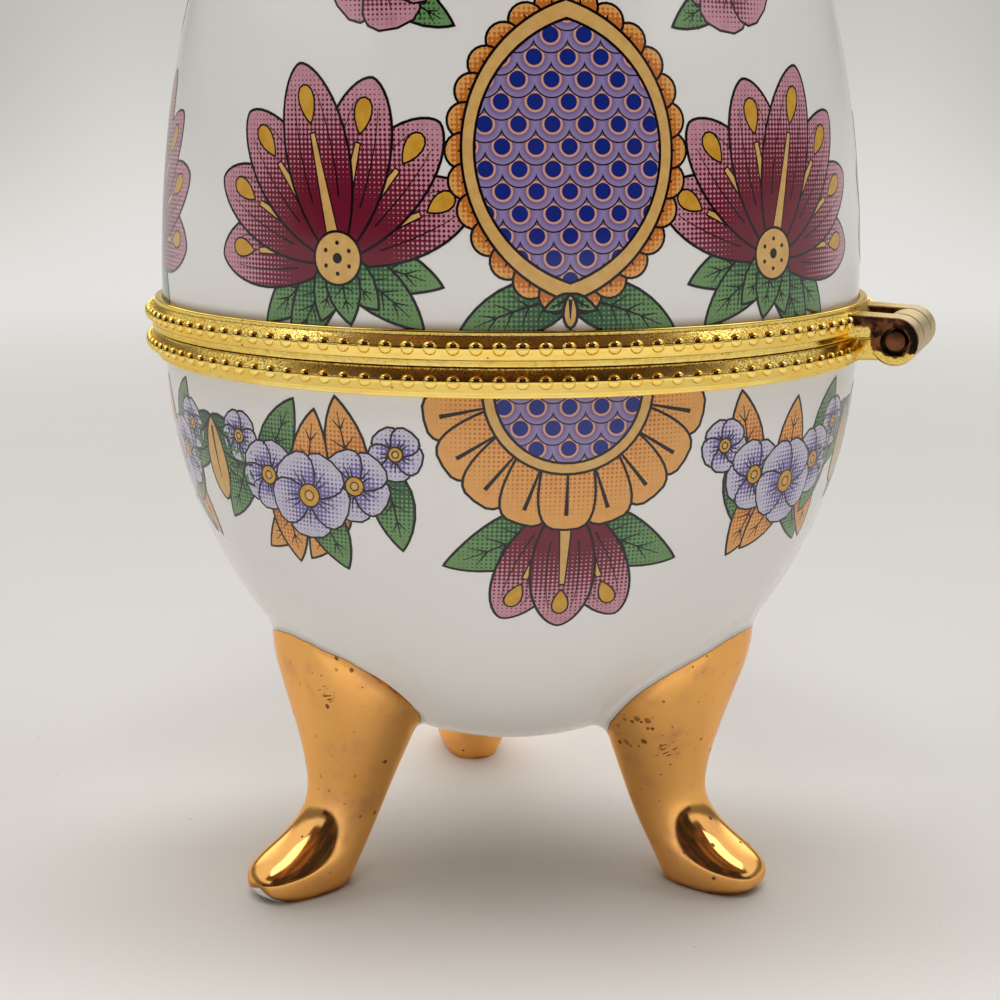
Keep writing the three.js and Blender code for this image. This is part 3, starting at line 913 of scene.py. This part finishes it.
class Shell:
    """One porcelain shell's outer face, unrolled: u runs round it to the right and v up from its rim."""

    def __init__(self, rim, depth, direction):
        self.rim, self.depth, self.direction = rim, depth, direction
        self.sweep = np.linspace(0, math.pi / 2, 600)
        self.arc = lengths_along(np.stack([EGG_RADIUS * np.cos(self.sweep), depth * np.sin(self.sweep)], 1))

    def lay(self, flat, azimuth, lift):
        """Places and normals for flat points (u, v) about an azimuth, lifted off the glaze."""
        sweep = np.interp(self.direction * flat[:, 1], self.arc, self.sweep)
        radius = EGG_RADIUS * np.cos(sweep)
        angle = math.radians(azimuth) + flat[:, 0] / radius
        out, up = unit(np.stack([np.cos(sweep) / EGG_RADIUS, np.sin(sweep) / self.depth], 1)).T
        height = self.rim + self.direction * self.depth * np.sin(sweep)
        place = np.stack([radius * np.sin(angle), -radius * np.cos(angle), height], 1)
        normal = np.stack([out * np.sin(angle), -out * np.cos(angle), self.direction * up], 1)
        return place + lift * normal, normal


def unit(rows):
    return rows / np.maximum(np.linalg.norm(rows, axis=1), TINY)[:, None]


def right_of(rows):
    """Flat directions turned clockwise by a right angle."""
    return np.stack([rows[:, 1], -rows[:, 0]], 1)


def anticlockwise(outline):
    after = np.roll(outline, -1, 0)
    area = np.sum(outline[:, 0] * after[:, 1] - after[:, 0] * outline[:, 1]) / 2
    return outline if area > 0 else outline[::-1]


def grown(outline, width):
    """A closed outline moved outwards by width, with its points drawn out a little less than a mitre."""
    outline = anticlockwise(outline)
    before = unit(outline - np.roll(outline, 1, 0))
    after = unit(np.roll(outline, -1, 0) - outline)
    bisector = unit(right_of(before + after))
    lean = np.sum(bisector * right_of(after), axis=1)
    return outline + bisector * (width / np.clip(lean, 0.45, 1.0))[:, None]


def arranged(outlines):
    """Flat points, the triangles that fill all outlines, and the last outline over each triangle."""
    corners = np.concatenate(outlines)
    ends = np.cumsum([len(outline) for outline in outlines])
    loops = [list(range(end - len(outline), end)) for outline, end in zip(outlines, ends)]
    tree = KDTree(len(corners))
    for i, (x, y) in enumerate(corners):
        tree.insert((x, y, 0), i)
    tree.balance()
    places = [Vector(corner) for corner in corners]
    low, high = corners.min(0), corners.max(0)
    for row, y in enumerate(np.arange(low[1], high[1], PRINT_GRID)):
        for x in np.arange(low[0] + row % 2 * PRINT_GRID / 2, high[0], PRINT_GRID):
            if tree.find((x, y, 0))[2] > 0.4 * PRINT_GRID:
                places.append(Vector((x, y)))
    points, _, triangles, _, _, owners = delaunay_2d_cdt(places, [], loops, 1, 1e-4)
    covered = [(triangle, max(owner)) for triangle, owner in zip(triangles, owners) if owner]
    used = sorted({i for triangle, _ in covered for i in triangle})
    fresh = {old: new for new, old in enumerate(used)}
    flat = np.array([tuple(points[i]) for i in used])
    return flat, [tuple(fresh[i] for i in t) for t, _ in covered], [owner for _, owner in covered]


def open_edges(triangles):
    """The edges that only one triangle has, with the number of that triangle."""
    found = {}
    for number, (a, b, c) in enumerate(triangles):
        for edge in ((a, b), (b, c), (c, a)):
            if edge[::-1] in found:
                del found[edge[::-1]]
            else:
                found[edge] = number
    return found


def moved(shape, at, angle=0.0):
    """A flat shape turned anticlockwise by an angle in degrees and moved to a place."""
    turn = math.radians(angle)
    matrix = np.array([[math.cos(turn), math.sin(turn)], [-math.sin(turn), math.cos(turn)]])
    return np.asarray(shape, float) @ matrix + np.asarray(at)


class Print:
    """Printed shapes on a shell. Later shapes cover earlier ones, and all lie in one thin closed film."""

    def __init__(self, shell):
        self.shell = shell
        self.shapes = []
        self.points, self.normals, self.sheets = [], [], []
        self.faces, self.inks, self.shades = [], [], []
        self.move_to((0, 0))

    def move_to(self, at, angle=0.0):
        """Says where the origin of the next shapes goes, and how far they turn anticlockwise."""
        self.at, self.angle = at, angle

    def add(self, ink, outline, start, end):
        ends = [moved(place, self.at, self.angle).ravel() for place in (start, end)]
        self.shapes.append((INKS.index(ink), anticlockwise(outline), *ends))

    def fill(self, ink, outline, start=(0.0, 0.0), end=(0.0, 1.0)):
        """One shape. Its shade goes from 0 at the point start to 1 at the point end."""
        self.add(ink, moved(outline, self.at, self.angle), start, end)

    def draw(self, ink, outline, start=(0.0, 0.0), end=(0.0, 1.0), line=LINE):
        """A shape with a dark line round it."""
        outline = moved(outline, self.at, self.angle)
        self.add("ink", grown(outline, line), (0.0, 0.0), (0.0, 1.0))
        self.add(ink, outline, start, end)

    def lay(self, azimuths):
        """Lays the shapes drawn so far on the shell, once at each azimuth, and clears the sheet."""
        flat, triangles, owners = arranged([shape[1] for shape in self.shapes])
        count = len(flat)
        film = []
        for triangle, owner in zip(triangles, owners):
            film.append((triangle, triangle, owner))
            film.append((tuple(count + i for i in triangle[::-1]), triangle[::-1], owner))
        for (a, b), number in open_edges(triangles).items():
            film.append(((a, count + a, count + b, b), (a, a, b, b), owners[number]))
        shades = []
        for _, corners, owner in film:
            start, end = self.shapes[owner][2:]
            line = end - start
            shades += list(np.clip((flat[list(corners)] - start) @ line / (line @ line), 0, 1))
        for azimuth in azimuths:
            first = sum(len(points) for points in self.points)
            for lift, facing in ((PRINT_LIFT, 1), (-PRINT_SINK, -1)):
                points, normals = self.shell.lay(flat, azimuth, lift)
                self.points.append(points)
                self.normals.append(facing * normals)
                self.sheets.append(flat)
            self.faces += [tuple(first + i for i in face) for face, _, _ in film]
            self.inks += [self.shapes[owner][0] for _, _, owner in film]
            self.shades += shades
        self.shapes = []

    def piece(self, name, materials, body):
        points = np.concatenate(self.points)
        mesh = make_piece(name, points, self.faces, materials, body, self.inks).data
        shade = mesh.attributes.new("shade", "FLOAT", "CORNER")
        shade.data.foreach_set("value", np.array(self.shades, np.float32))
        sheet = mesh.attributes.new("sheet", "FLOAT_VECTOR", "POINT")
        flat = np.pad(np.concatenate(self.sheets), ((0, 0), (0, 1)))
        sheet.data.foreach_set("vector", flat.astype(np.float32).ravel())
        mesh.normals_split_custom_set_from_vertices(np.concatenate(self.normals))


def spine(length, bend, share):
    """Points along the middle of a blade that grows up from the origin and leans to the right by bend."""
    share = np.atleast_1d(share)
    return np.stack([bend * length * share ** 2, length * share], 1)


def blade_width(share, base, tip):
    peak = base / (base + tip)
    return share ** base * (1 - share) ** tip / (peak ** base * (1 - peak) ** tip)


def beside_spine(length, width, bend, base, tip, share, side):
    """Points of a blade at shares of its length: side is -1 for its left edge and 1 for its right."""
    share = np.atleast_1d(share)
    normal = right_of(unit(np.stack([2 * bend * share, np.ones_like(share)], 1)))
    return spine(length, bend, share) + normal * (side * width / 2 * blade_width(share, base, tip))[:, None]


def blade(length, width, bend, base, tip):
    """The outline of a leaf or petal that grows up from the origin."""
    count = max(8, int(length / OUTLINE_STEP))
    share = (1 - np.cos(np.linspace(0, math.pi, count))) / 2
    right = beside_spine(length, width, bend, base, tip, share, 1)
    left = beside_spine(length, width, bend, base, tip, share[1:-1], -1)
    return np.concatenate([right, left[::-1]])


def disc(radius):
    return on_circle(radius, round_angles(max(12, int(2 * math.pi * radius / (0.6 * OUTLINE_STEP)))))


def stroke(line, start_width, end_width):
    """The outline of a pen stroke along a line of points."""
    line = np.asarray(line, float)
    normal = right_of(unit(np.gradient(line, axis=0)))
    half = np.linspace(start_width, end_width, len(line))[:, None] / 2
    return np.concatenate([line + normal * half, (line - normal * half)[::-1]])


def leaf(design, ink, at, angle, length, width, bend=0.0, veins=4):
    """A pointed leaf with a dark midrib and side veins."""
    shape = (length, width, bend, *LEAF_SHAPE)
    design.move_to(at, angle)
    design.draw(ink, blade(*shape), end=spine(length, bend, 1.0))
    design.fill("ink", stroke(spine(length, bend, np.linspace(0.02, 0.86, 9)), *RIB_STROKE))
    for share in np.linspace(0.22, 0.66, veins):
        for side in (-1, 1):
            start = spine(length, bend, share)[0]
            end = beside_spine(*shape, share + 0.17, side)[0]
            vein = [start + (end - start) * t for t in (0.0, 0.25, 0.5, 0.72)]
            design.fill("ink", stroke(vein, *VEIN_STROKE))


def petal(design, at, angle, length, width, bend=0.0):
    """A burgundy petal that pales towards its tip, with a golden rib and a golden drop."""
    shape = (length, width, bend, *PETAL_SHAPE)
    design.move_to(at, angle)
    design.draw("burgundy", blade(*shape), spine(length, bend, 0.3), spine(length, bend, 1.05))
    share = np.linspace(0.3, 0.86, 8)
    for side in (-1, 1):
        fold = spine(length, bend, share) * 0.48 + beside_spine(*shape, share, side) * 0.52
        design.fill("ink", stroke(fold, *FOLD_STROKE))
    rib = spine(length, bend, np.linspace(0.05, 0.64, 12))
    design.draw("ochre", stroke(rib, 0.9, 0.3), line=0.12)
    drop = blade(length * 0.19, width * 0.24, 0.0, *DROP_SHAPE)
    design.draw("amber", moved(drop, spine(length, bend, 0.7)), line=FINE_LINE)


def floret(design, ink, at, radius, angle=0.0):
    """Five round petals about an orange eye."""
    for turn in range(5):
        facing = angle + turn * 72
        design.move_to(at, facing)
        shape = blade(radius, radius * 1.05, 0.0, *FLORET_SHAPE)
        design.draw(ink, shape, end=spine(radius, 0.0, 1.0), line=0.16)
        for lean, reach in ((-16, 0.6), (0, 0.7), (16, 0.6)):
            design.move_to(at, facing + lean)
            design.fill("ink", stroke(spine(radius, 0.0, np.linspace(0.3, reach, 5)), *VEIN_STROKE))
    design.move_to(at)
    design.draw("amber", disc(radius * 0.25), line=FINE_LINE)
    design.draw("ochre", disc(radius * 0.1), line=0.1)


def fan(design, at, lean, length):
    """A fan of petals that rises from leaves and a golden boss."""
    for angle in (-108, 108, -132, 132):
        leaf(design, "leaf", at, angle + lean, length * 0.62, length * 0.26, -0.12 * np.sign(angle))
    for angle, share in ((-70, 0.86), (70, 0.86), (-46, 0.95), (46, 0.95), (-23, 1.0), (23, 1.0), (0, 1.08)):
        petal(design, at, lean - angle, length * share, length * 0.4, 0.0022 * angle)
    for angle in (-150, 150, 180):
        leaf(design, "leaf", at, angle + lean, length * 0.36, length * 0.2, 0.0, 3)
    design.move_to(at)
    design.draw("ochre", disc(length * 0.14))
    for turn in range(6):
        design.move_to(np.asarray(at) + moved((0, length * 0.085), (0, 0), turn * 60))
        design.fill("ink", disc(0.16))
    design.move_to(at)
    design.fill("ink", disc(length * 0.03))


def pointed_oval(half_width, half_height):
    """Two arcs that meet in points above and below."""
    count = int(2 * half_height / OUTLINE_STEP)
    radius = (half_width ** 2 + half_height ** 2) / (2 * half_width)
    sweep = math.asin(half_height / radius)
    angles = np.linspace(-sweep, sweep, count)
    right = np.stack([radius * np.cos(angles) - radius + half_width, radius * np.sin(angles)], 1)
    return np.concatenate([right, -right[1:-1]])


def medallion(design, at, half_width, half_height):
    """A pointed oval of scales in a golden band, with an orange scalloped edge."""
    edge = pointed_oval(half_width + 0.9, half_height + 1.3)
    closed = np.vstack([edge, edge[:1]])
    length = lengths_along(closed)
    lobes = 2 * round(length[-1] / 2 / 2.1)
    for lobe in range(lobes):
        place = (lobe + 0.5) / lobes * length[-1]
        middle = np.array([np.interp(place, length, closed[:, k]) for k in (0, 1)])
        design.move_to(middle + at)
        design.draw("orange", disc(1.15), end=middle / np.linalg.norm(middle) * 1.2, line=0.18)
        design.move_to((0, 0))
        design.fill("ink", stroke([at + middle * (1 + 0.012 * k) for k in range(5)], 0.22, 0.08))
    design.move_to(at)
    design.draw("ochre", edge)
    design.draw("scales", pointed_oval(half_width, half_height))


def sprig(design, at, angle, size):
    """Two leaves and a golden bud."""
    for side in (-1, 1):
        leaf(design, "leaf", at, angle + 52 * side, size, size * 0.42, -0.18 * side, 3)
    design.move_to(at, angle)
    design.draw("ochre", blade(size * 1.1, size * 0.42, 0.0, *BUD_SHAPE))
    design.fill("ink", stroke(spine(size * 1.1, 0.0, np.linspace(0.1, 0.75, 6)), 0.3, 0.08))


def festoon(design, start, end, drop):
    """A hanging garland of florets among leaves."""
    start, end = np.asarray(start, float), np.asarray(end, float)

    def hang(share):
        return start + (end - start) * share - np.array([0, 4 * drop * share * (1 - share)])

    design.move_to((0, 0))
    line = [hang(share) for share in np.linspace(0.08, 0.92, 40)]
    design.draw("leaf", stroke(line, 0.5, 0.5), line=FINE_LINE)
    for share, angle, ink in (
            (0.16, 200, "leaf"), (0.34, 160, "orange"), (0.5, 215, "leaf"), (0.5, 145, "orange"),
            (0.66, 200, "orange"), (0.84, 160, "leaf"), (0.27, 20, "orange"), (0.73, -20, "leaf"),
            (0.5, 0, "orange")):
        leaf(design, ink, hang(share), angle, 6.6, 3.1, 0.1, 3)
    for share, radius in ((0.1, 2.0), (0.9, 2.0), (0.28, 2.8), (0.72, 2.8), (0.5, 3.5)):
        floret(design, "lavender", hang(share), radius, 360 * share)


def ribbed_shell(design, at, length):
    """A half-round shell of orange ribs that hangs from its middle."""
    for angle in (-78, 78, -58, 58, -39, 39, -19, 19, 0):
        design.move_to(at, 180 + angle)
        shape = blade(length, length * 0.38, 0.0, *SHELL_RIB_SHAPE)
        design.draw("orange", shape, end=spine(length, 0.0, 1.0))
        design.fill("ink", stroke(spine(length, 0.0, np.linspace(0.45, 0.9, 6)), 0.1, 0.32))
    half = on_circle(length * 0.5, np.linspace(0, math.pi, 24)) * (1, -1)
    design.move_to(at)
    design.draw("ochre", half * 1.16)
    design.draw("scales", half)


def lid_print(materials):
    """Three medallions, each between two fans, under blossoms and sprigs."""
    design = Print(Shell(LID_RIM, LID_RISE, 1))
    for side in (-1, 1):
        fan(design, (16.6 * side, 5.8), -12 * side, 12.6)
    for side in (-1, 1):
        leaf(design, "leaf", (0, 3.4), -100 * side, 8.0, 3.4, 0.16 * side)
        leaf(design, "leaf", (12.4 * side, 24.6), -62 * side, 6.6, 3.0, 0.1 * side)
        leaf(design, "leaf", (12.4 * side, 24.6), 128 * side, 5.4, 2.4, 0.1 * side)
        floret(design, "burgundy", (12.8 * side, 25.4), 4.0, 20 * side)
    medallion(design, (0, 13.2), 6.4, 8.8)
    sprig(design, (0, 3.4), 180, 1.9)
    sprig(design, (0, 25.0), 0, 3.6)
    design.lay(REPEATS)
    sprig(design, (0, 26.0), 0, 4.4)
    design.lay(BETWEEN_REPEATS)
    design.piece("lid_print", materials, "lid")


def crown_print(materials):
    """Tongues and leaves that hang from a ring of drops at the top of the lid."""
    design = Print(Shell(LID_RIM, LID_RISE, 1))
    design.move_to((0, 58.0), 180)
    design.draw("burgundy", blade(21.0, 9.4, 0.0, *TONGUE_SHAPE), (0, 8.0), (0, 21.0))
    design.draw("ochre", stroke(spine(21.0, 0.0, np.linspace(0.2, 0.72, 12)), 0.4, 1.2))
    design.move_to((0, 42.0), 180)
    design.draw("amber", blade(3.0, 1.6, 0.0, *DROP_SHAPE))
    floret(design, "lavender", (0, 33.0), 2.8)
    design.lay([PRINT_AZIMUTH + 60 * turn for turn in range(6)])
    leaf(design, "leaf", (0, 55.0), 180, 13.0, 4.6)
    leaf(design, "orange", (0, 41.0), 180, 6.6, 3.0)
    design.lay([PRINT_AZIMUTH + 30 + 60 * turn for turn in range(6)])
    design.move_to((0, 64.2), 180)
    design.draw("orange", blade(5.2, 1.8, 0.0, *TONGUE_SHAPE), (0, 1.2), (0, 5.2))
    design.lay([PRINT_AZIMUTH + 15 + 30 * turn for turn in range(12)])
    design.piece("crown_print", materials, "lid")


def cup_print(materials):
    """Three ribbed shells that hang from the rim, each over a tassel of petals, joined by festoons."""
    design = Print(Shell(CUP_RIM, CUP_DEPTH, -1))
    for side in (-1, 1):
        festoon(design, (10.6 * side, -3.0), (28.6 * side, -3.0), 6.0)
        leaf(design, "leaf", (0, -9.4), 124 * side, 9.6, 4.2, 0.12 * side)
    for angle in (157, 203, 180):
        petal(design, (0, -8.4), angle, 11.0, 4.6)
    ribbed_shell(design, (0, -0.3), 10.4)
    design.lay(REPEATS)
    for side in (-1, 1):
        leaf(design, "leaf", (0, -4.4), 140 * side, 6.4, 2.8, 0.1 * side, 3)
    sprig(design, (0, -4.2), 180, 6.0)
    design.lay(BETWEEN_REPEATS)
    design.piece("cup_print", materials, "base")


def halftone(graph):
    """1 where a screen of printed dots, which grow with the shade, is inked, and 0 between them."""
    x, y, _ = graph.axes(graph.attribute("sheet", "Vector"))
    turn = math.pi / DOT_PITCH
    first = graph.math("SINE", graph.times(graph.math("ADD", x, y), turn))
    second = graph.math("SINE", graph.times(graph.minus(x, y), turn))
    shade = graph.scaled(graph.attribute("shade"), -2.3, 1.2)
    return graph.step(graph.math("ADD", graph.times(first, second), shade), -0.12, 0.12)


def print_material(name, dark, light, dotted=True):
    """Glazed printing ink that goes in dots from dark to light, or is even with a slight mottle."""
    material, graph = new_material("print " + name)
    place = graph.place()
    mottle = graph.noise(place, 0.7, 3.0)
    if dotted:
        colour = graph.mix(halftone(graph), light, dark)
        colour = graph.mix(graph.step(mottle, 0.4, 0.75, 0.0, 0.18), colour, dark)
    else:
        colour = graph.mix(graph.step(mottle, 0.3, 0.7), light, dark)
    graph.glaze(place, colour, 0.08, 0.14)
    return material


def scales_material():
    """Printed fish scales in rows: purple with dark edges, a pale rim and a blue eye ringed in copper."""
    material, graph = new_material("print scales")
    x, y, _ = graph.axes(graph.attribute("sheet", "Vector"))
    across = graph.math("DIVIDE", x, SCALE_WIDTH)
    up = graph.math("DIVIDE", y, SCALE_RISE)
    row = graph.math("CEIL", up)
    odd = graph.times(graph.math("FLOORED_MODULO", row, 2.0), 0.5)

    def from_centre(shift, rise):
        aside = graph.minus(graph.math("FRACT", graph.math("ADD", across, shift)), 0.5)
        above = graph.times(rise, SCALE_RISE / SCALE_WIDTH)
        return graph.math("SQRT", graph.scaled(aside, aside, graph.times(above, above)))

    upper = from_centre(odd, graph.minus(row, up))
    lower = from_centre(graph.minus(0.5, odd), graph.math("ADD", graph.minus(up, row), 1.0))
    covered = graph.math("LESS_THAN", upper, SCALE_REACH)
    distance = graph.node("ShaderNodeMix", {0: covered, 2: lower, 3: upper}).outputs[0]
    colour = graph.mix(graph.step(distance, 0.2, 0.5), rgb(96, 74, 132), rgb(150, 134, 182))
    colour = graph.mix(graph.fall(distance, 0.30, 0.32), colour, rgb(226, 165, 132))
    colour = graph.mix(graph.fall(distance, 0.235, 0.255), colour, rgb(22, 42, 132))
    line = graph.fall(graph.math("ABSOLUTE", graph.minus(distance, SCALE_REACH)), 0.035, 0.055)
    graph.surface(Base_Color=graph.mix(line, colour, rgb(30, 20, 36)), Roughness=0.1, IOR=1.5)
    return material


def make_world():
    """A pale tent with a window behind, a dim ceiling and a dark room in front.

    Rise is the sine of a direction's height. Front is 1 straight towards the camera and -1 away from it.
    """
    world = bpy.data.worlds.new("studio")
    bpy.context.scene.world = world
    world.use_nodes = True
    graph = Graph(world.node_tree)
    direction = graph.node("ShaderNodeTexCoord").outputs["Generated"]
    right, back, rise = graph.axes(direction)
    level = graph.math("SQRT", graph.minus(1.0001, graph.times(rise, rise)))
    front = graph.math("DIVIDE", graph.times(back, -1.0), level)
    mottle = graph.node("ShaderNodeTexNoise", {"Vector": direction, "Scale": 4.0, "Detail": 3.0}).outputs[0]

    # The tent over a ground, and the part of its back that the camera sees
    colour = graph.mix(graph.step(rise, 0.3, 0.42), TENT_LOW, TENT_HIGH)
    window = graph.times(graph.step(rise, 0.22, 0.32), graph.fall(front, -0.77, -0.62))
    colour = graph.mix(window, colour, WINDOW)
    colour = graph.mix(graph.fall(rise, -0.02, 0.15), colour, GROUND)
    backdrop = graph.mix(graph.step(rise, -0.1, 0.1), BACKDROP_LOW, BACKDROP_HIGH)
    aside = graph.step(graph.math("ABSOLUTE", right), 0.21, 0.33)
    corner = graph.times(aside, graph.step(rise, -0.12, 0.08))
    backdrop = graph.mix(corner, backdrop, BACKDROP_CORNER)
    seen = graph.times(graph.fall(front, -0.95, -0.85), graph.fall(rise, 0.1, 0.2))
    colour = graph.mix(seen, colour, backdrop)

    # The ceiling, which reaches lower in front than behind
    lit = graph.mix(graph.step(mottle, 0.46, 0.6), CEILING_DUSK, CEILING_WARM)
    overhead = graph.mix(graph.step(rise, 0.74, 0.84), CEILING_FRONT, lit)
    back_half = graph.step(back, -0.2, 0.2)
    ceiling = graph.mix(back_half, overhead, CEILING_BACK)
    high = graph.step(graph.scaled(back_half, -0.25, rise), 0.5, 0.62)
    colour = graph.mix(high, colour, ceiling)

    # The dark room past the tent's opening, and a low dark strip on both sides of it
    opening = graph.times(graph.step(front, 0.6, 0.75), graph.fall(rise, 0.68, 0.8))
    skirting = graph.times(graph.step(front, 0.25, 0.4), graph.fall(rise, 0.2, 0.28))
    dark = graph.times(graph.most(opening, skirting), graph.step(rise, 0.03, 0.07))
    room = graph.mix(graph.step(mottle, 0.48, 0.66), ROOM_BLACK, ROOM_RED)
    colour = graph.mix(dark, colour, room)
    shader = graph.node("ShaderNodeBackground", {"Color": colour, "Strength": 1.0})
    graph.node("ShaderNodeOutputWorld", {"Surface": shader.outputs[0]})


def floor_material():
    """Pale paper with a painted shadow under the box and painted light behind it and in front of it, that fades
    out far from it.
    """
    material, graph = new_material("pale floor")
    place = graph.place()
    distance = graph.length(place)
    depth = graph.axes(place)[1]
    cloud = graph.minus(graph.noise(place, 30, 4.0), 0.5)
    # Painted shadow under the box, going over to painted light behind it
    painted_shadow_and_light = graph.mix(graph.step(depth, -0.008, 0.012), PAPER_PAINTED_SHADOW, PAPER_PAINTED_LIGHT_BEHIND)
    paper = graph.mix(graph.scaled(cloud, 0.2, graph.step(distance, 0.02, 0.05)), painted_shadow_and_light, PAPER_FAR)
    # Painted pool of light on the paper in front of the box
    paper = graph.mix(graph.fall(depth, -0.045, -0.014), paper, PAPER_PAINTED_LIGHT_FRONT)
    dust = graph.times(specks(graph, place, 5.0, 0.3, 0.06, 0.22), 0.25)
    shader = graph.node("ShaderNodeBsdfPrincipled", {
        "Base Color": graph.mix(dust, paper, PAPER_DUST),
        "Roughness": 0.7,
        "Specular IOR Level": 0.2,
        "Normal": graph.bump(graph.noise(place, 0.8, 3.0), 0.02),
    })
    clear = graph.node("ShaderNodeBsdfTransparent")
    fade = graph.step(distance, 0.12, 0.5)
    mixed = graph.node("ShaderNodeMixShader", {0: fade, 1: shader.outputs[0], 2: clear.outputs[0]})
    graph.node("ShaderNodeOutputMaterial", {"Surface": mixed.outputs[0]})
    return material


def make_floor():
    """A pale round floor that fades into the backdrop."""
    points = [(0, 0, 0)]
    for radius in FLOOR_RINGS:
        points += [(radius * math.cos(a), radius * math.sin(a), 0) for a in round_angles(FLOOR_SIDES)]
    pairs = neighbours(FLOOR_SIDES)
    faces = [(0, 1 + i, 1 + j) for i, j in pairs]
    for ring in range(len(FLOOR_RINGS) - 1):
        low = 1 + ring * FLOOR_SIDES
        high = low + FLOOR_SIDES
        faces += [(low + i, high + i, high + j, low + j) for i, j in pairs]
    mesh = bpy.data.meshes.new("floor")
    mesh.from_pydata([tuple(p) for p in np.array(points) * MM], [], faces)
    mesh.materials.append(floor_material())
    floor = add_object("floor", mesh)


def make_lamp(name, place, size, watts, target=(0, 0, 50), mirrored=False):
    """A square or oblong lamp aimed at a target. Only a mirrored one shows in glossy surfaces."""
    lamp = bpy.data.lights.new(name, "AREA")
    lamp.shape = "RECTANGLE"
    lamp.size, lamp.size_y = (s * MM for s in size)
    lamp.energy = watts
    holder = add_object(name, lamp)
    holder.location = Vector(place) * MM
    aim = Vector(target) * MM - holder.location
    holder.rotation_euler = aim.to_track_quat("-Z", "Y").to_euler()
    holder.visible_glossy = mirrored
    return holder


def make_camera():
    data = bpy.data.cameras.new("camera")
    data.sensor_width = SENSOR
    data.lens = FOCAL_PIXELS / PICTURE_SIZE * SENSOR
    data.shift_x = (PICTURE_SIZE / 2 - AXIS_PIXEL) / PICTURE_SIZE
    data.clip_start = 0.01
    camera = add_object("camera", data)
    camera.location = Vector(CAMERA_PLACE) * MM
    camera.rotation_euler = (math.radians(90 - CAMERA_PITCH), 0, 0)
    bpy.context.scene.camera = camera


def paint_node(node, material):
    mesh = frame["nodes"][node].data
    mesh.materials.clear()
    mesh.materials.append(material)


make_camera()
make_world()
make_floor()
for side in (-1, 1):
    make_lamp("side_softbox", (300 * side, 20, 470), (200, 200), 0.3, mirrored=True)
make_lamp("top_softbox", (0, -220, 560), (220, 220), 1.04)
make_lamp("front_fill", (0, -480, 140), (400, 300), 0.05)
make_lamp("front_strip", (0, -95, 72), (160, 40), 0.015, (0, -95, 0)).visible_camera = False
bpy.context.scene.view_settings.view_transform = "Standard"

porcelain = porcelain_material()
lustre = lustre_material()
gilt = brass_material(
    "gilt brass", rgb(255, 229, 134), rgb(255, 220, 114), rgb(236, 186, 84), rgb(104, 66, 28), 0.13)
wire = brass_material(
    "pin wire", rgb(150, 104, 70), rgb(120, 78, 50), rgb(104, 66, 42), rgb(60, 36, 22), 0.35)
cement = cement_material()

# In the order of INKS
inks = [
    print_material("ink", rgb(14, 9, 13), rgb(26, 19, 24), dotted=False),
    print_material("burgundy", rgb(112, 26, 46), rgb(204, 150, 164)),
    print_material("ochre", rgb(214, 168, 96), rgb(224, 182, 112), dotted=False),
    print_material("amber", rgb(205, 150, 44), rgb(216, 166, 62), dotted=False),
    print_material("orange", rgb(196, 112, 44), rgb(232, 170, 96)),
    print_material("leaf", rgb(44, 88, 58), rgb(112, 152, 96)),
    print_material("lavender", rgb(116, 104, 168), rgb(206, 202, 220)),
    scales_material(),
]
lid_print(inks)
crown_print(inks)
cup_print(inks)

make_shell("porcelain_cup", CUP_RIM, CUP_DEPTH, -1, porcelain, "base", "base_cup")
make_shell("porcelain_lid", LID_RIM, LID_RISE, 1, porcelain, "lid", "lid_shell")
lower_sizes = (LOWER_COLLAR_HEIGHT, LOWER_RIDGE, LOWER_BAND)
upper_sizes = (UPPER_COLLAR_HEIGHT, UPPER_RIDGE, UPPER_BAND)
make_collar("beaded_lower_collar", *lower_sizes, -1, gilt, "base", "lower_collar")
make_collar("beaded_upper_collar", *upper_sizes, 1, gilt, "lid", "upper_collar")
for side, fillet in FILLETS.items():
    make_leg(side, fillet, lustre)
outer_middle = (BARREL_LENGTH - OUTER_KNUCKLE) / 2
make_knuckle("hinge_front_knuckle", outer_middle, OUTER_KNUCKLE, 1, gilt, "lid", "lid_knuckle_front")
make_knuckle("hinge_rear_knuckle", -outer_middle, OUTER_KNUCKLE, 1, gilt, "lid", "lid_knuckle_rear")
make_knuckle("hinge_middle_knuckle", 0, MIDDLE_KNUCKLE, -1, gilt, "base", "cup_knuckle")
make_pin(wire)
paint_node("lower_cement_ring", cement)
paint_node("upper_cement_ring", cement)
